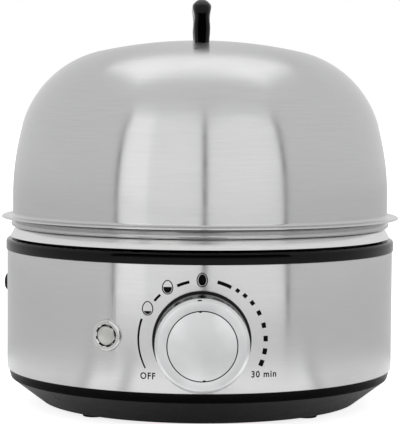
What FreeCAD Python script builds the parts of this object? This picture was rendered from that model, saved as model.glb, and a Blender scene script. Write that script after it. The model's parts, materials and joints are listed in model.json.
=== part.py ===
import FreeCAD, Part
import math
import os
import re

import Sketcher
from FreeCAD import Placement, Rotation, Vector

# A round electric egg cooker. The origin is where the housing's axis meets the worktop,
# +Z is up and the control panel faces -Y. Lengths are in millimetres, angles in degrees.

os.makedirs("parts", exist_ok=True)
doc = FreeCAD.newDocument("EggCooker")

SIZES = (
    ("shell_radius", 90.0, "outside radius of the brushed sleeve"),
    ("shell_wall", 0.8, "thickness of the sleeve"),
    ("shell_height", 55.0, "visible height of the sleeve"),
    ("sheet_wall", 0.8, "thickness of the drawn lid, rack and dish"),
    ("fit_gap", 0.2, "gap between housings that nest and stay put"),
    ("lift_gap", 0.3, "gap between pieces that lift apart"),
    ("run_gap", 0.05, "radial gap of a turning shaft"),
    ("foot_height", 1.6, "drop of the feet below the pan"),
    ("foot_radius", 5.3, "radius of a rubber foot"),
    ("foot_circle", 66.0, "distance of a foot from the axis"),
    ("foot_angle", 46.0, "turn of a foot from the front and back"),
    ("foot_stem", 2.5, "radius of a foot's push-in stem"),
    ("pan_wall", 2.2, "wall of the moulded pan"),
    ("pan_cone_height", 11.1, "height of the pan's slanted side"),
    ("pan_cone_inset", 14.6, "how far the slanted side runs inwards"),
    ("pan_band_height", 4.3, "height of the band under the sleeve"),
    ("pan_band_draft", 1.2, "how much the band narrows downwards"),
    ("pan_ledge_inset", 0.5, "how far the band's top stands in from the sleeve"),
    ("spigot_height", 6.0, "overlap of pan and ring inside the sleeve"),
    ("ring_height", 5.0, "visible height of the trim ring"),
    ("ring_overhang", 0.5, "how far the ring stands out from the sleeve"),
    ("ring_round", 1.4, "rounding of the ring's top edge"),
    ("skirt_gap", 1.0, "shadow gap between ring and dish skirt"),
    ("skirt_height", 4.3, "height of the dish's folded skirt"),
    ("skirt_flare", 62.3, "slope of the skirt below level"),
    ("rim_bend", 1.2, "bend radius where rim turns to skirt"),
    ("dish_depth", 17.5, "depth of the water dish"),
    ("dish_corner", 10.0, "corner radius inside the dish"),
    ("dish_inset", 6.6, "how far the dish's inner wall stands in from the sleeve"),
    ("rack_drop", 0.8, "how far the rack's plate hangs below its hem"),
    ("rack_band_height", 3.9, "height of the rack's outer band"),
    ("rack_bead_height", 2.5, "height of the bead that centres the lid"),
    ("band_inset", 1.7, "how far the rack's band stands in from the sleeve"),
    ("band_taper", 2.0, "how much the rack's band curls in at its foot"),
    ("band_curl", 6.0, "radius of the band's convex side"),
    ("egg_hole_radius", 17.5, "radius of an egg hole"),
    ("egg_circle", 54.0, "distance of the outer egg holes from the axis"),
    ("steam_hole_radius", 3.0, "radius of a steam hole in the rack"),
    ("steam_circle", 72.0, "distance of the rack's steam holes from the axis"),
    ("loop_wire", 1.3, "wire radius of a lifting loop"),
    ("loop_width", 22.0, "width of a lifting loop"),
    ("loop_height", 18.0, "height of a lifting loop above the plate"),
    ("loop_circle", 77.0, "distance of a lifting loop from the axis"),
    ("dome_inset", 2.53, "how far the dome's side stands in from the sleeve"),
    ("dome_straight", 6.5, "upright stretch at the foot of the dome"),
    ("side_radius", 131.2, "radius of the dome's side"),
    ("side_tilt", 75.3, "turn from the crown where the side starts"),
    ("shoulder_radius", 48.4, "radius of the dome's shoulder"),
    ("crown_radius", 216.0, "radius of the dome's crown"),
    ("flange_bend", 1.5, "bend radius between dome and flange"),
    ("flange_width", 5.2, "width of the dome's flange"),
    ("lip_bend", 1.1, "bend radius of the flange's turned-down lip"),
    ("lip_drop", 0.6, "straight stretch of the lip below its bend"),
    ("vent_radius", 1.5, "radius of the steam vent"),
    ("vent_tilt", 9.0, "turn of the steam vent from the crown"),
    ("handle_length", 56.0, "length of the lid handle, front to back"),
    ("handle_rise", 18.6, "height of the handle above the crown"),
    ("handle_bar", 8.0, "thickness of the handle's top bar"),
    ("handle_foot", 12.0, "length of each handle foot"),
    ("handle_round", 9.0, "outer corner radius of the handle"),
    ("handle_width", 9.3, "width of the handle's top"),
    ("handle_waist", 7.2, "width of the handle's waist"),
    ("handle_hip", 8.3, "width of the handle's feet"),
    ("handle_screw", 2.0, "shank radius of a handle screw"),
    ("handle_screw_tilt", 5.8, "turn of a handle screw from the crown"),
    ("washer_radius", 5.0, "radius of a handle washer"),
    ("knob_height", 40.2, "height of the knob's axis above the worktop"),
    ("knob_radius", 19.3, "radius of the knob's face"),
    ("knob_skirt", 21.0, "radius of the knob's skirt"),
    ("knob_gap", 1.0, "gap between sleeve and knob"),
    ("knob_depth", 20.4, "depth of the knob"),
    ("knob_wall", 2.0, "wall of the knob"),
    ("cap_depth", 2.0, "depth of the knob's metal cap"),
    ("cap_bevel", 1.5, "bevel of the knob's metal cap"),
    ("groove_inset", 4.7, "how far the cap's fine groove stands in from the knob's edge"),
    ("shaft_radius", 3.0, "radius of the timer's shaft"),
    ("shaft_flat", 0.8, "depth of the shaft's flat"),
    ("bush_radius", 4.5, "radius of the timer's bush"),
    ("timer_width", 44.0, "width and height of the timer"),
    ("timer_depth", 22.0, "depth of the timer's case"),
    ("timer_wall", 1.6, "wall of the timer's case"),
    ("panel_inset", 12.0, "how far the bracket stands behind the sleeve"),
    ("plate_wall", 1.2, "thickness of the control bracket"),
    ("bell_radius", 14.0, "radius of the timer's bell"),
    ("lamp_height", 40.7, "height of the lamp above the worktop"),
    ("lamp_angle", 27.0, "turn of the lamp from the knob"),
    ("bezel_radius", 6.85, "outside radius of the lamp's bezel"),
    ("bezel_rise", 1.3, "thickness of the bezel's flange"),
    ("lamp_barrel", 5.0, "radius of the bezel's barrel"),
    ("lens_radius", 4.0, "radius of the lamp's lens"),
    ("lens_crown", 1.1, "height of the lens's rounded front"),
    ("gland_height", 53.6, "height of the cord gland above the worktop"),
    ("gland_angle", 103.0, "turn of the cord gland from the knob"),
    ("cord_bore", 3.2, "radius of the hole for the cord"),
    ("gland_nose", 4.0, "radius of the gland's nose"),
    ("gland_flange", 6.5, "radius of the gland's flange"),
    ("gland_barrel", 5.0, "radius of the gland's barrel"),
    ("bracket_rise", 10.2, "height of the bracket's pillars above the pan's floor"),
    ("element_circle", 42.0, "radius of the heater ring"),
    ("element_rod", 3.25, "radius of the heater's rod"),
    ("element_gap_angle", 40.0, "gap between the heater's ends"),
    ("spreader_radius", 52.0, "radius of the heat spreader"),
    ("spreader_wall", 3.0, "thickness of the heat spreader"),
    ("strap_wall", 1.5, "thickness of the clamp strap"),
    ("stud_radius", 2.0, "radius of the clamp stud"),
    ("post_circle", 60.0, "distance of a tie post from the axis"),
    ("post_radius", 3.0, "radius of a tie post"),
    ("post_bore", 1.6, "radius of a tie post's threaded hole"),
    ("boss_radius", 5.0, "radius of a screw boss"),
    ("boss_height", 7.4, "height of a screw boss from the pan's underside"),
    ("thermostat_radius", 8.3, "radius of the thermostat's cap"),
    ("thermostat_offset", 22.0, "distance of the thermostat behind the axis"),
    ("fuse_offset", 20.0, "distance of the thermal fuse before the axis"),
    ("block_offset", 52.0, "distance of the terminal block left of the axis"),
    ("block_width", 12.0, "width of the terminal block"),
    ("block_length", 34.0, "length of the terminal block"),
    ("block_shift", 13.0, "shift of the terminal block to the back"),
    ("tab_wall", 0.8, "thickness of a terminal blade"),
    ("tab_width", 6.3, "width of a terminal blade"),
    ("wire_radius", 1.1, "radius of an insulated wire"),
    ("lamp_wire_radius", 0.7, "radius of a lamp wire"),
)

DERIVED = (
    ("sleeve_bore", "shell_radius - shell_wall"),
    ("groove_radius", "knob_radius - groove_inset"),
    ("pan_seat_z", "foot_height + pan_cone_height + pan_band_height"),
    ("shell_top_z", "pan_seat_z + shell_height"),
    ("ring_top_z", "shell_top_z + ring_height"),
    ("dish_rim_z", "ring_top_z + skirt_gap + skirt_height"),
    ("dish_floor_z", "dish_rim_z - dish_depth"),
    ("dish_under_z", "dish_floor_z - sheet_wall"),
    ("dish_wall_radius", "shell_radius - dish_inset"),
    ("rack_foot_z", "dish_rim_z + lift_gap"),
    ("rack_top_z", "rack_foot_z + rack_band_height"),
    ("rack_plate_z", "rack_foot_z - rack_drop"),
    ("rack_wall_radius", "dish_wall_radius - 2 * lift_gap"),
    ("band_radius", "shell_radius - band_inset"),
    ("flange_z", "rack_top_z + lift_gap + sheet_wall"),
    ("dome_radius", "shell_radius - dome_inset"),
    ("side_z", "flange_z + flange_bend + dome_straight"),
    (
        "crown_tilt",
        "asin((dome_radius - shoulder_radius * sin(side_tilt) - side_radius * (1 - sin(side_tilt)))"
        " / (crown_radius - shoulder_radius))",
    ),
    ("shoulder_end_radius", "dome_radius - side_radius * (1 - sin(side_tilt))"),
    ("shoulder_end_z", "side_z + side_radius * cos(side_tilt)"),
    ("crown_end_radius", "crown_radius * sin(crown_tilt)"),
    ("crown_end_z", "shoulder_end_z + shoulder_radius * (cos(crown_tilt) - cos(side_tilt))"),
    ("apex_z", "crown_end_z + crown_radius * (1 - cos(crown_tilt))"),
    ("crown_centre_z", "apex_z - crown_radius"),
    ("handle_top_z", "apex_z + handle_rise"),
    ("panel_y", "panel_inset - shell_radius"),
    ("spreader_under_z", "dish_under_z - spreader_wall"),
    ("element_z", "spreader_under_z - element_rod"),
    ("strap_top_z", "element_z - element_rod"),
    ("pan_floor_z", "foot_height + pan_wall"),
    ("post_seat_z", "foot_height + boss_height"),
    ("bracket_seat_z", "pan_floor_z + bracket_rise"),
    ("knob_rear", "shell_radius + knob_gap"),
    ("knob_front", "knob_rear + knob_depth"),
)

sheet = doc.addObject("Spreadsheet::Sheet", "Sizes")
for row, (alias, size, meaning) in enumerate(SIZES, start=1):
    sheet.set(f"A{row}", meaning)
    sheet.set(f"B{row}", str(size))
    sheet.setAlias(f"B{row}", alias)
doc.recompute()

ALIASES = {alias for alias, _, _ in SIZES}
LAYOUT_NAMES = {name for name, _ in DERIVED}


def full(expression):
    """The expression with each plain name led back to the sheet or the layout."""

    def owner(match):
        word = match.group(0)
        if word in ALIASES:
            return f"Sizes.{word}"
        if word in LAYOUT_NAMES:
            return f"Layout.{word}"
        return word

    return re.sub(r"[a-z_]+", owner, str(expression))


layout = doc.addObject("App::VarSet", "Layout")
for name, expression in DERIVED:
    layout.addProperty("App::PropertyFloat", name, "Layout", "worked out from the sheet")
    unit = " / 1 deg" if expression.startswith("asin") else ""
    layout.setExpression(name, f"({full(expression)}){unit}")
doc.recompute()


def number(expression):
    """What an expression of sheet and layout names comes to now."""
    result = layout.evalExpression(full(expression))
    return float(getattr(result, "Value", result))


def bind(target, **properties):
    """Tie properties to expressions; a double underscore stands for a dot."""
    for path, expression in properties.items():
        target.setExpression(path.replace("__", "."), full(expression))
    return target


def stand(target, across="0", depth="0", height="0"):
    """Put an object's own origin at a place in the housing."""
    return bind(
        target, Placement__Base__x=across, Placement__Base__y=depth, Placement__Base__z=height
    )


def face_out(target, turn, height):
    """Point an object's own Z axis out of the housing's side, turned left from the front."""
    target.setExpression(
        "Placement",
        f"placement(vector(0; 0; {full(height)}); "
        f"rotation(vector(0; 0; 1); -({full(turn)})) * rotation(vector(1; 0; 0); 90))",
    )
    return target


def on_crown(target, tilt, height):
    """Stand an object at a height on the axis, then tilt it about the dome's crown centre."""
    tilt, centre = full(tilt), full("crown_centre_z")
    arm = f"(({full(height)}) - {centre})"
    target.setExpression(
        "Placement",
        f"placement(vector(0; -{arm} * sin({tilt}); {centre} + {arm} * cos({tilt})); "
        f"rotation(vector(1; 0; 0); {tilt}))",
    )
    return target


# ---------------------------------------------------------------- sketches


def arc_between(start, end, radius, turn):
    """The short arc from start to end that turns left (1) or right (-1)."""
    chord = end - start
    if 2 * radius < chord.Length:
        raise ValueError("an arc's radius is too small for its two ends")
    left = Vector(-chord.y, chord.x, 0).normalize()
    height = math.sqrt(radius**2 - (chord.Length / 2) ** 2)
    centre = (start + end) * 0.5 + left * (turn * height)
    first, last = (start, end) if turn > 0 else (end, start)
    angles = [math.atan2(p.y - centre.y, p.x - centre.x) for p in (first, last)]
    return Part.ArcOfCircle(Part.Circle(centre, Vector(0, 0, 1), radius), *angles)


def hold_point(sketch, edge, end, across, up):
    """Hold one end of an edge at its place; zero holds it on the sketch's own axis."""
    for kind, axis, expression in (("DistanceX", -2, across), ("DistanceY", -1, up)):
        if str(expression) == "0":
            sketch.addConstraint(Sketcher.Constraint("PointOnObject", edge, end, axis))
            continue
        index = sketch.addConstraint(
            Sketcher.Constraint(kind, -1, 1, edge, end, number(expression))
        )
        sketch.setExpression(f"Constraints[{index}]", full(expression))


def draw(sketch, corners, closed=True):
    """Draw an outline from (across, up) or (across, up, arc radius, turn) corners."""
    points = [Vector(number(c[0]), number(c[1]), 0) for c in corners]
    count = len(corners) if closed else len(corners) - 1
    ends = []
    for index in range(count):
        corner, following = corners[index], (index + 1) % len(corners)
        start, end = points[index], points[following]
        if len(corner) == 2:
            edge = sketch.addGeometry(Part.LineSegment(start, end), False)
            ends.append((edge, 1, 2))
            continue
        _, _, radius, turn = corner
        edge = sketch.addGeometry(arc_between(start, end, number(radius), turn), False)
        held = sketch.addConstraint(Sketcher.Constraint("Radius", edge, number(radius)))
        sketch.setExpression(f"Constraints[{held}]", full(radius))
        ends.append((edge, 1, 2) if turn > 0 else (edge, 2, 1))
    for index, (edge, start, end) in enumerate(ends):
        hold_point(sketch, edge, start, corners[index][0], corners[index][1])
        if index + 1 < len(ends):
            sketch.addConstraint(
                Sketcher.Constraint("Coincident", edge, end, ends[index + 1][0], ends[index + 1][1])
            )
        elif closed:
            sketch.addConstraint(Sketcher.Constraint("Coincident", edge, end, ends[0][0], ends[0][1]))
        else:
            hold_point(sketch, edge, end, corners[-1][0], corners[-1][1])
    return sketch


def draw_circle(sketch, across, up, radius):
    """Draw a circle held at its centre and radius."""
    centre = Vector(number(across), number(up), 0)
    edge = sketch.addGeometry(
        Part.Circle(centre, Vector(0, 0, 1), number(radius)), False
    )
    hold_point(sketch, edge, 3, across, up)
    held = sketch.addConstraint(Sketcher.Constraint("Radius", edge, number(radius)))
    sketch.setExpression(f"Constraints[{held}]", full(radius))


def draw_box(sketch, left, bottom, right, top):
    """Draw a rectangle from its four limits."""
    return draw(sketch, [(left, bottom), (right, bottom), (right, top), (left, top)])


def upright_sketch(name, corners, closed=True):
    """A free sketch in the plane of radius and height."""
    sketch = doc.addObject("Sketcher::SketchObject", name)
    sketch.Placement = Placement(Vector(), Rotation(Vector(1, 0, 0), 90))
    return draw(sketch, corners, closed)


# ---------------------------------------------------------------- solids


def named(target, label):
    """Give an object the label that names its node."""
    target.Label = label
    return target


def design_body(label):
    """An empty PartDesign body."""
    return named(doc.addObject("PartDesign::Body", "body_" + label), label)


def body_sketch(body, name, plane, lift="0"):
    """A sketch on one of the body's own origin planes, lifted off it by an expression."""
    sketch = body.newObject("Sketcher::SketchObject", body.Label + "_" + name)
    planes = [f for f in body.Origin.OriginFeatures if f.Role == plane]
    sketch.AttachmentSupport = [(planes[0], "")]
    sketch.MapMode = "FlatFace"
    bind(sketch, AttachmentOffset__Base__z=lift)
    return sketch


def feature(body, kind, name, profile, **sizes):
    """A PartDesign feature on a sketch; the body's tip moves to it."""
    made = body.newObject("PartDesign::" + kind, body.Label + "_" + name)
    made.Profile = profile
    bind(made, **sizes)
    body.Tip = made
    return made


def pad(body, name, profile, length):
    """Raise a sketch on the body."""
    return feature(body, "Pad", name, profile, Length=length)


def pocket(body, name, profile, length, upwards=True):
    """Cut a sketch into the body, and make sure that it takes material away."""
    doc.recompute()
    before = body.Shape.Volume
    made = feature(body, "Pocket", name, profile, Length=length)
    made.Reversed = upwards
    doc.recompute()
    if not body.Shape.Volume < before - 0.01:
        raise ValueError(f"{made.Label} cuts nothing")
    return made


def turned(body, name, corners):
    """Spin a closed outline of (radius, height) corners about the body's Z axis."""
    profile = draw(body_sketch(body, name + "_outline", "XZ_Plane"), corners)
    made = feature(body, "Revolution", name, profile)
    made.ReferenceAxis = (profile, ["V_Axis"])
    made.Angle = 360
    return made


def turned_body(label, corners):
    """A body that is one turned outline."""
    body = design_body(label)
    turned(body, "turned", corners)
    return body


def drawn_sheet(name, corners, thickness):
    """Sheet metal spun about the axis: the path is its outer face, from the axis outwards.

    The sheet's side goes by the path's first edge: below a line is -, below an arc is +."""
    path = upright_sketch(name + "_path", corners, closed=False)
    section = doc.addObject("Part::Offset2D", name + "_section")
    section.Source = path
    section.Mode = "Skin"
    section.Fill = True
    bind(section, Value=thickness)
    shell = doc.addObject("Part::Revolution", name + "_spun")
    shell.Source = section
    shell.Axis = Vector(0, 0, 1)
    shell.Angle = 360
    return shell


def cylinder(name, radius, height):
    """An upright cylinder on its own origin."""
    return bind(doc.addObject("Part::Cylinder", name), Radius=radius, Height=height)


def block(name, low, high):
    """A box between two corners of expressions."""
    made = doc.addObject("Part::Box", name)
    spans = [f"({b}) - ({a})" for a, b in zip(low, high)]
    bind(made, Length=spans[0], Width=spans[1], Height=spans[2])
    return stand(made, *low)


def prism(name, corners, radius, height):
    """An upright prism with that many sides, such as a hexagon nut."""
    made = doc.addObject("Part::Prism", name)
    made.Polygon = corners
    return bind(made, Circumradius=radius, Height=height)


def fuse(label, pieces):
    """Several shapes as one solid."""
    made = doc.addObject("Part::MultiFuse", "fused_" + label)
    made.Shapes = pieces
    return named(made, label)


def cut(label, base, tools):
    """A shape with others taken away."""
    made = doc.addObject("Part::Cut", "cut_" + label)
    made.Base = base
    if len(tools) == 1:
        made.Tool = tools[0]
    else:
        made.Tool = fuse(label + "_tools", tools)
    return named(made, label)


def group(label, pieces):
    """Like pieces that stay separate solids in one node."""
    made = doc.addObject("Part::Compound", "group_" + label)
    made.Links = pieces
    return named(made, label)


def polar(radius, degrees):
    """Across and depth expressions of a place on a circle, counted from +X."""
    return f"({radius}) * cos({degrees})", f"({radius}) * sin({degrees})"


def pan_screw(name, shank, length, head, thickness):
    """A pan-head screw that points up from its own origin, at the seat under its head."""
    rod = stand(cylinder(name + "_shank", shank, f"({length}) + 0.5"), height="-0.5")
    cap = stand(cylinder(name + "_head", head, thickness), height=f"-({thickness})")
    slot = block(
        name + "_slot",
        (f"-({head}) - 1", "-0.4", f"-({thickness}) - 1"),
        (f"({head}) + 1", "0.4", f"0.8 - ({thickness})"),
    )
    return cut(name, fuse(name + "_blank", [rod, cap]), [slot])


def bent_tube(label, radius, *routes):
    """Round wires along straight runs joined by tangent arcs, one solid for each route."""
    solids = []
    for route in routes:
        points = [Vector(*p) for p in route]
        turns = []
        for before, corner, after in zip(points, points[1:], points[2:]):
            bend = (corner - before).getAngle(after - corner)
            reach = 0.45 * min((corner - before).Length, (after - corner).Length)
            turns.append((corner, bend, reach))
            print(f"{label}: bend radius {reach / math.tan(bend / 2):.1f}")
        edges, start = [], points[0]
        for index, (corner, bend, reach) in enumerate(turns, start=1):
            inward = (points[index - 1] - corner).normalize()
            outward = (points[index + 1] - corner).normalize()
            first, last = corner + inward * reach, corner + outward * reach
            middle_way = (inward + outward).normalize()
            arc_radius = reach / math.tan(bend / 2)
            centre = corner + middle_way * (arc_radius / math.cos(bend / 2))
            middle = centre - middle_way * arc_radius
            edges.append(Part.LineSegment(start, first).toShape())
            edges.append(Part.Arc(first, middle, last).toShape())
            start = last
        edges.append(Part.LineSegment(start, points[-1]).toShape())
        path = Part.Wire(edges)
        circle = Part.Circle(points[0], points[1] - points[0], radius)
        solid = path.makePipeShell([Part.Wire(circle.toShape())], True, False)
        expected = math.pi * radius**2 * path.Length
        if abs(solid.Volume - expected) > 0.01 * expected:
            raise ValueError(f"{label} is not its section times its length")
        solids.append(solid)
    made = doc.addObject("Part::Feature", "wire_" + label)
    made.Shape = solids[0] if len(solids) == 1 else Part.Compound(solids)
    made.Placement = Placement()
    return named(made, label)


nodes = []


def node(made):
    """Keep an object as one of the cooker's pieces."""
    nodes.append(made)
    return made


# ---------------------------------------------------------------- lid


def make_lid_dome():
    """The drawn dome, with a flange whose edge is turned down."""
    dome = drawn_sheet(
        "dome",
        [
            ("0", "apex_z", "crown_radius", -1),
            ("crown_end_radius", "crown_end_z", "shoulder_radius", -1),
            ("shoulder_end_radius", "shoulder_end_z", "side_radius", -1),
            ("dome_radius", "side_z"),
            ("dome_radius", "flange_z + flange_bend", "flange_bend", 1),
            ("dome_radius + flange_bend", "flange_z"),
            ("dome_radius + flange_width - lip_bend", "flange_z", "lip_bend", -1),
            ("dome_radius + flange_width", "flange_z - lip_bend"),
            ("dome_radius + flange_width", "flange_z - lip_bend - lip_drop"),
        ],
        "sheet_wall",
    )
    drills = [
        on_crown(cylinder(f"dome_drill_{index}", radius, "12"), tilt, "apex_z - 6")
        for index, (radius, tilt) in enumerate(
            (
                ("handle_screw + fit_gap", "handle_screw_tilt"),
                ("handle_screw + fit_gap", "-handle_screw_tilt"),
                ("vent_radius", "-vent_tilt"),
            )
        )
    ]
    node(cut("lid_dome", dome, drills))


def make_lid_handle():
    """A moulded arch: its side view and its end view, each run through, meet in it."""
    base, inner_round = "crown_centre_z + 0.9 * crown_radius", "(handle_round - 3)"
    half, gap = "(handle_length / 2)", "(handle_length / 2 - handle_foot)"
    bar = "(handle_top_z - handle_bar)"
    side = doc.addObject("Sketcher::SketchObject", "handle_side")
    side.Placement = Placement(Vector(), Rotation(Vector(1, 1, 1), 120))
    draw(
        side,
        [
            (half, base),
            (half, "handle_top_z - handle_round", "handle_round", 1),
            (f"{half} - handle_round", "handle_top_z"),
            (f"handle_round - {half}", "handle_top_z", "handle_round", 1),
            (f"-{half}", "handle_top_z - handle_round"),
            (f"-{half}", base),
            (f"-{gap}", base),
            (f"-{gap}", f"{bar} - {inner_round}", inner_round, -1),
            (f"{inner_round} - {gap}", bar),
            (f"{gap} - {inner_round}", bar, inner_round, -1),
            (gap, f"{bar} - {inner_round}"),
            (gap, base),
        ],
    )
    end = upright_sketch(
        "handle_end",
        [
            ("handle_hip / 2", base),
            ("handle_hip / 2", "handle_top_z - 0.75 * handle_rise"),
            ("handle_waist / 2", "handle_top_z - 0.5 * handle_rise"),
            ("handle_width / 2", "handle_top_z - 0.27 * handle_rise"),
            ("handle_width / 2", "handle_top_z - 0.33 * handle_width", "0.33 * handle_width", 1),
            ("handle_width * 0.17", "handle_top_z"),
            ("-handle_width * 0.17", "handle_top_z", "0.33 * handle_width", 1),
            ("-handle_width / 2", "handle_top_z - 0.33 * handle_width"),
            ("-handle_width / 2", "handle_top_z - 0.27 * handle_rise"),
            ("-handle_waist / 2", "handle_top_z - 0.5 * handle_rise"),
            ("-handle_hip / 2", "handle_top_z - 0.75 * handle_rise"),
            ("-handle_hip / 2", base),
        ],
    )
    views = []
    for name, sketch, way in (("side", side, Vector(1, 0, 0)), ("end", end, Vector(0, 1, 0))):
        run = doc.addObject("Part::Extrusion", "handle_run_" + name)
        run.Base = sketch
        run.DirMode = "Custom"
        run.Dir = way
        run.Solid = True
        run.Symmetric = True
        bind(run, LengthFwd="2 * handle_length")
        views.append(run)
    arch = doc.addObject("Part::MultiCommon", "handle_arch")
    arch.Shapes = views
    crown = bind(doc.addObject("Part::Sphere", "handle_seat"), Radius="crown_radius + run_gap")
    stand(crown, height="crown_centre_z")
    bores = [
        on_crown(cylinder(f"handle_bore_{index}", "handle_screw", "10"), tilt, "apex_z - 2")
        for index, tilt in enumerate(("handle_screw_tilt", "-handle_screw_tilt"))
    ]
    node(cut("lid_handle", arch, [crown, *bores]))


def make_handle_fasteners():
    """Two washers and two screws that hold the handle from inside the dome."""
    washers, screws = [], []
    washer_top = "apex_z - sheet_wall - 0.1"
    for index, tilt in enumerate(("handle_screw_tilt", "-handle_screw_tilt")):
        name = f"washer_{index}"
        disc = cylinder(name + "_disc", "washer_radius", "1")
        hole = cylinder(name + "_hole", "handle_screw + fit_gap", "1")
        washers.append(on_crown(cut(name, disc, [hole]), tilt, f"{washer_top} - 1"))
        screw = pan_screw(f"handle_screw_{index}", "handle_screw", "9", "handle_screw * 1.9", "2.2")
        screws.append(on_crown(screw, tilt, f"{washer_top} - 1"))
    node(group("handle_washers", washers))
    node(group("handle_screws", screws))


# ---------------------------------------------------------------- egg rack


def make_egg_rack():
    """The drawn rack: a plate with egg holes, a bead that centres the lid and a curled band."""
    wall, bead_out = "rack_wall_radius", "(dome_radius - sheet_wall - 4 * lift_gap)"
    top, bead_top = "rack_top_z", "(rack_top_z + rack_bead_height)"
    rack = drawn_sheet(
        "rack",
        [
            ("0", "rack_plate_z"),
            (f"{wall} - sheet_wall - 2", "rack_plate_z", "2", 1),
            (f"{wall} - sheet_wall", "rack_plate_z + 2"),
            (f"{wall} - sheet_wall", f"{bead_top} - 1", "1", -1),
            (f"{wall} - sheet_wall + 1", bead_top),
            (f"{bead_out} - 1", bead_top, "1", -1),
            (bead_out, f"{bead_top} - 1"),
            (bead_out, f"{top} + 0.6"),
            (f"{bead_out} + 0.6", top),
            ("band_radius - 1.2", top, "1.2", -1),
            ("band_radius", f"{top} - 1.2", "band_curl", -1),
            ("band_radius - band_taper", "rack_foot_z"),
            (f"{wall} + 1", "rack_foot_z"),
        ],
        "-sheet_wall",
    )
    drills = [cylinder("egg_drill_middle", "egg_hole_radius", "20")]
    stand(drills[0], height="rack_plate_z - 10")
    for index in range(6):
        for kind, radius, circle, shift in (
            ("egg", "egg_hole_radius", "egg_circle", 0),
            ("steam", "steam_hole_radius", "steam_circle", 30),
        ):
            drill = cylinder(f"{kind}_drill_{index}", radius, "20")
            place = polar(circle, 60 * index + 30 + shift)
            drills.append(stand(drill, *place, "rack_plate_z - 10"))
    for side in (-1, 1):
        for end in (-1, 1):
            drill = cylinder(f"loop_drill_{side + 1}{end + 1}", "loop_wire + fit_gap", "20")
            place = (f"{side} * loop_circle", f"{end} * (loop_width / 2 - loop_wire)")
            drills.append(stand(drill, *place, "rack_plate_z - 10"))
    node(cut("egg_rack", rack, drills))


def make_rack_lift_loops():
    """Two bent wire loops, each with its feet through the plate and headed below it."""
    loops = []
    for side in (-1, 1):
        across, reach = side * number("loop_circle"), number("loop_width / 2 - loop_wire")
        wire, foot = number("loop_wire"), number("rack_plate_z - sheet_wall - 1.6")
        top, corner = number("rack_plate_z + loop_height - loop_wire"), number("loop_width / 3.2")
        bend = corner * (1 - math.sqrt(0.5))
        stations = [
            Vector(across, depth, height)
            for depth, height in (
                (-reach, foot),
                (-reach, top - corner),
                (bend - reach, top - bend),
                (corner - reach, top),
                (reach - corner, top),
                (reach - bend, top - bend),
                (reach, top - corner),
                (reach, foot),
            )
        ]
        path = Part.Wire(
            [
                Part.LineSegment(stations[0], stations[1]).toShape(),
                Part.Arc(*stations[1:4]).toShape(),
                Part.LineSegment(stations[3], stations[4]).toShape(),
                Part.Arc(*stations[4:7]).toShape(),
                Part.LineSegment(stations[6], stations[7]).toShape(),
            ]
        )
        circle = Part.Circle(Vector(across, -reach, foot), Vector(0, 0, 1), wire)
        loop = path.makePipeShell([Part.Wire(circle.toShape())], True, False)
        collars = [
            Part.makeCylinder(wire * 1.7, height, Vector(across, end * reach, base))
            for end in (-1, 1)
            for base, height in ((foot, 1.5), (number("rack_plate_z + 0.1"), 1.0))
        ]
        loops.append(loop.fuse(collars).removeSplitter())
    made = doc.addObject("Part::Feature", "wire_rack_lift_loops")
    made.Shape = Part.Compound([piece for loop in loops for piece in loop.Solids])
    made.Placement = Placement()
    node(named(made, "rack_lift_loops"))


# ---------------------------------------------------------------- housing


def make_heating_dish():
    """The polished water dish, with a skirt folded over the trim ring."""
    bend_out, bend_down = "rim_bend * sin(skirt_flare)", "rim_bend * (1 - cos(skirt_flare))"
    bend_start = "(dish_wall_radius + 2.1)"
    fall = f"(skirt_height - ({bend_down}))"
    dish = drawn_sheet(
        "dish",
        [
            ("0", "dish_floor_z"),
            ("dish_wall_radius - dish_corner", "dish_floor_z", "dish_corner", 1),
            ("dish_wall_radius", "dish_floor_z + dish_corner"),
            ("dish_wall_radius", "dish_rim_z - 1.5", "1.5", -1),
            ("dish_wall_radius + 1.5", "dish_rim_z"),
            (bend_start, "dish_rim_z", "rim_bend", -1),
            (f"{bend_start} + {bend_out}", f"dish_rim_z - {bend_down}"),
            (
                f"{bend_start} + {bend_out} + {fall} / tan(skirt_flare)",
                "dish_rim_z - skirt_height",
            ),
        ],
        "-sheet_wall",
    )
    node(named(dish, "heating_dish"))


def make_trim_ring():
    """The moulded ring between sleeve and dish; its inner collar carries the dish's rim."""
    outer, inner = "shell_radius + ring_overhang", "dish_wall_radius + sheet_wall + fit_gap"
    spigot, seat = "sleeve_bore - fit_gap", "dish_wall_radius + 2.1"
    ring = turned_body(
        "trim_ring",
        [
            (outer, "shell_top_z"),
            (outer, "ring_top_z - ring_round", "ring_round", 1),
            (f"{outer} - ring_round", "ring_top_z"),
            (seat, "ring_top_z"),
            (seat, "dish_rim_z - sheet_wall"),
            (f"{inner} + 0.7", "dish_rim_z - sheet_wall"),
            (inner, "dish_rim_z - sheet_wall - 0.8"),
            (inner, "shell_top_z"),
            (f"{spigot} - 2", "shell_top_z"),
            (f"{spigot} - 2", "shell_top_z - spigot_height"),
            (spigot, "shell_top_z - spigot_height"),
            (spigot, "shell_top_z"),
        ],
    )
    node(ring)


def make_outer_shell():
    """The brushed sleeve, with holes for the timer's bush, the lamp and the cord gland."""
    sleeve = turned_body(
        "sleeve",
        [
            ("sleeve_bore", "pan_seat_z"),
            ("shell_radius", "pan_seat_z"),
            ("shell_radius", "shell_top_z"),
            ("sleeve_bore", "shell_top_z"),
        ],
    )
    drills = [
        face_out(cylinder(name, radius, "shell_radius + 10"), turn, height)
        for name, radius, turn, height in (
            ("bush_drill", "bush_radius + 1", "0", "knob_height"),
            ("lamp_drill", "lamp_barrel + fit_gap", "lamp_angle", "lamp_height"),
            ("gland_drill", "gland_barrel + fit_gap", "gland_angle", "gland_height"),
        )
    ]
    node(cut("outer_shell", sleeve, drills))


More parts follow.
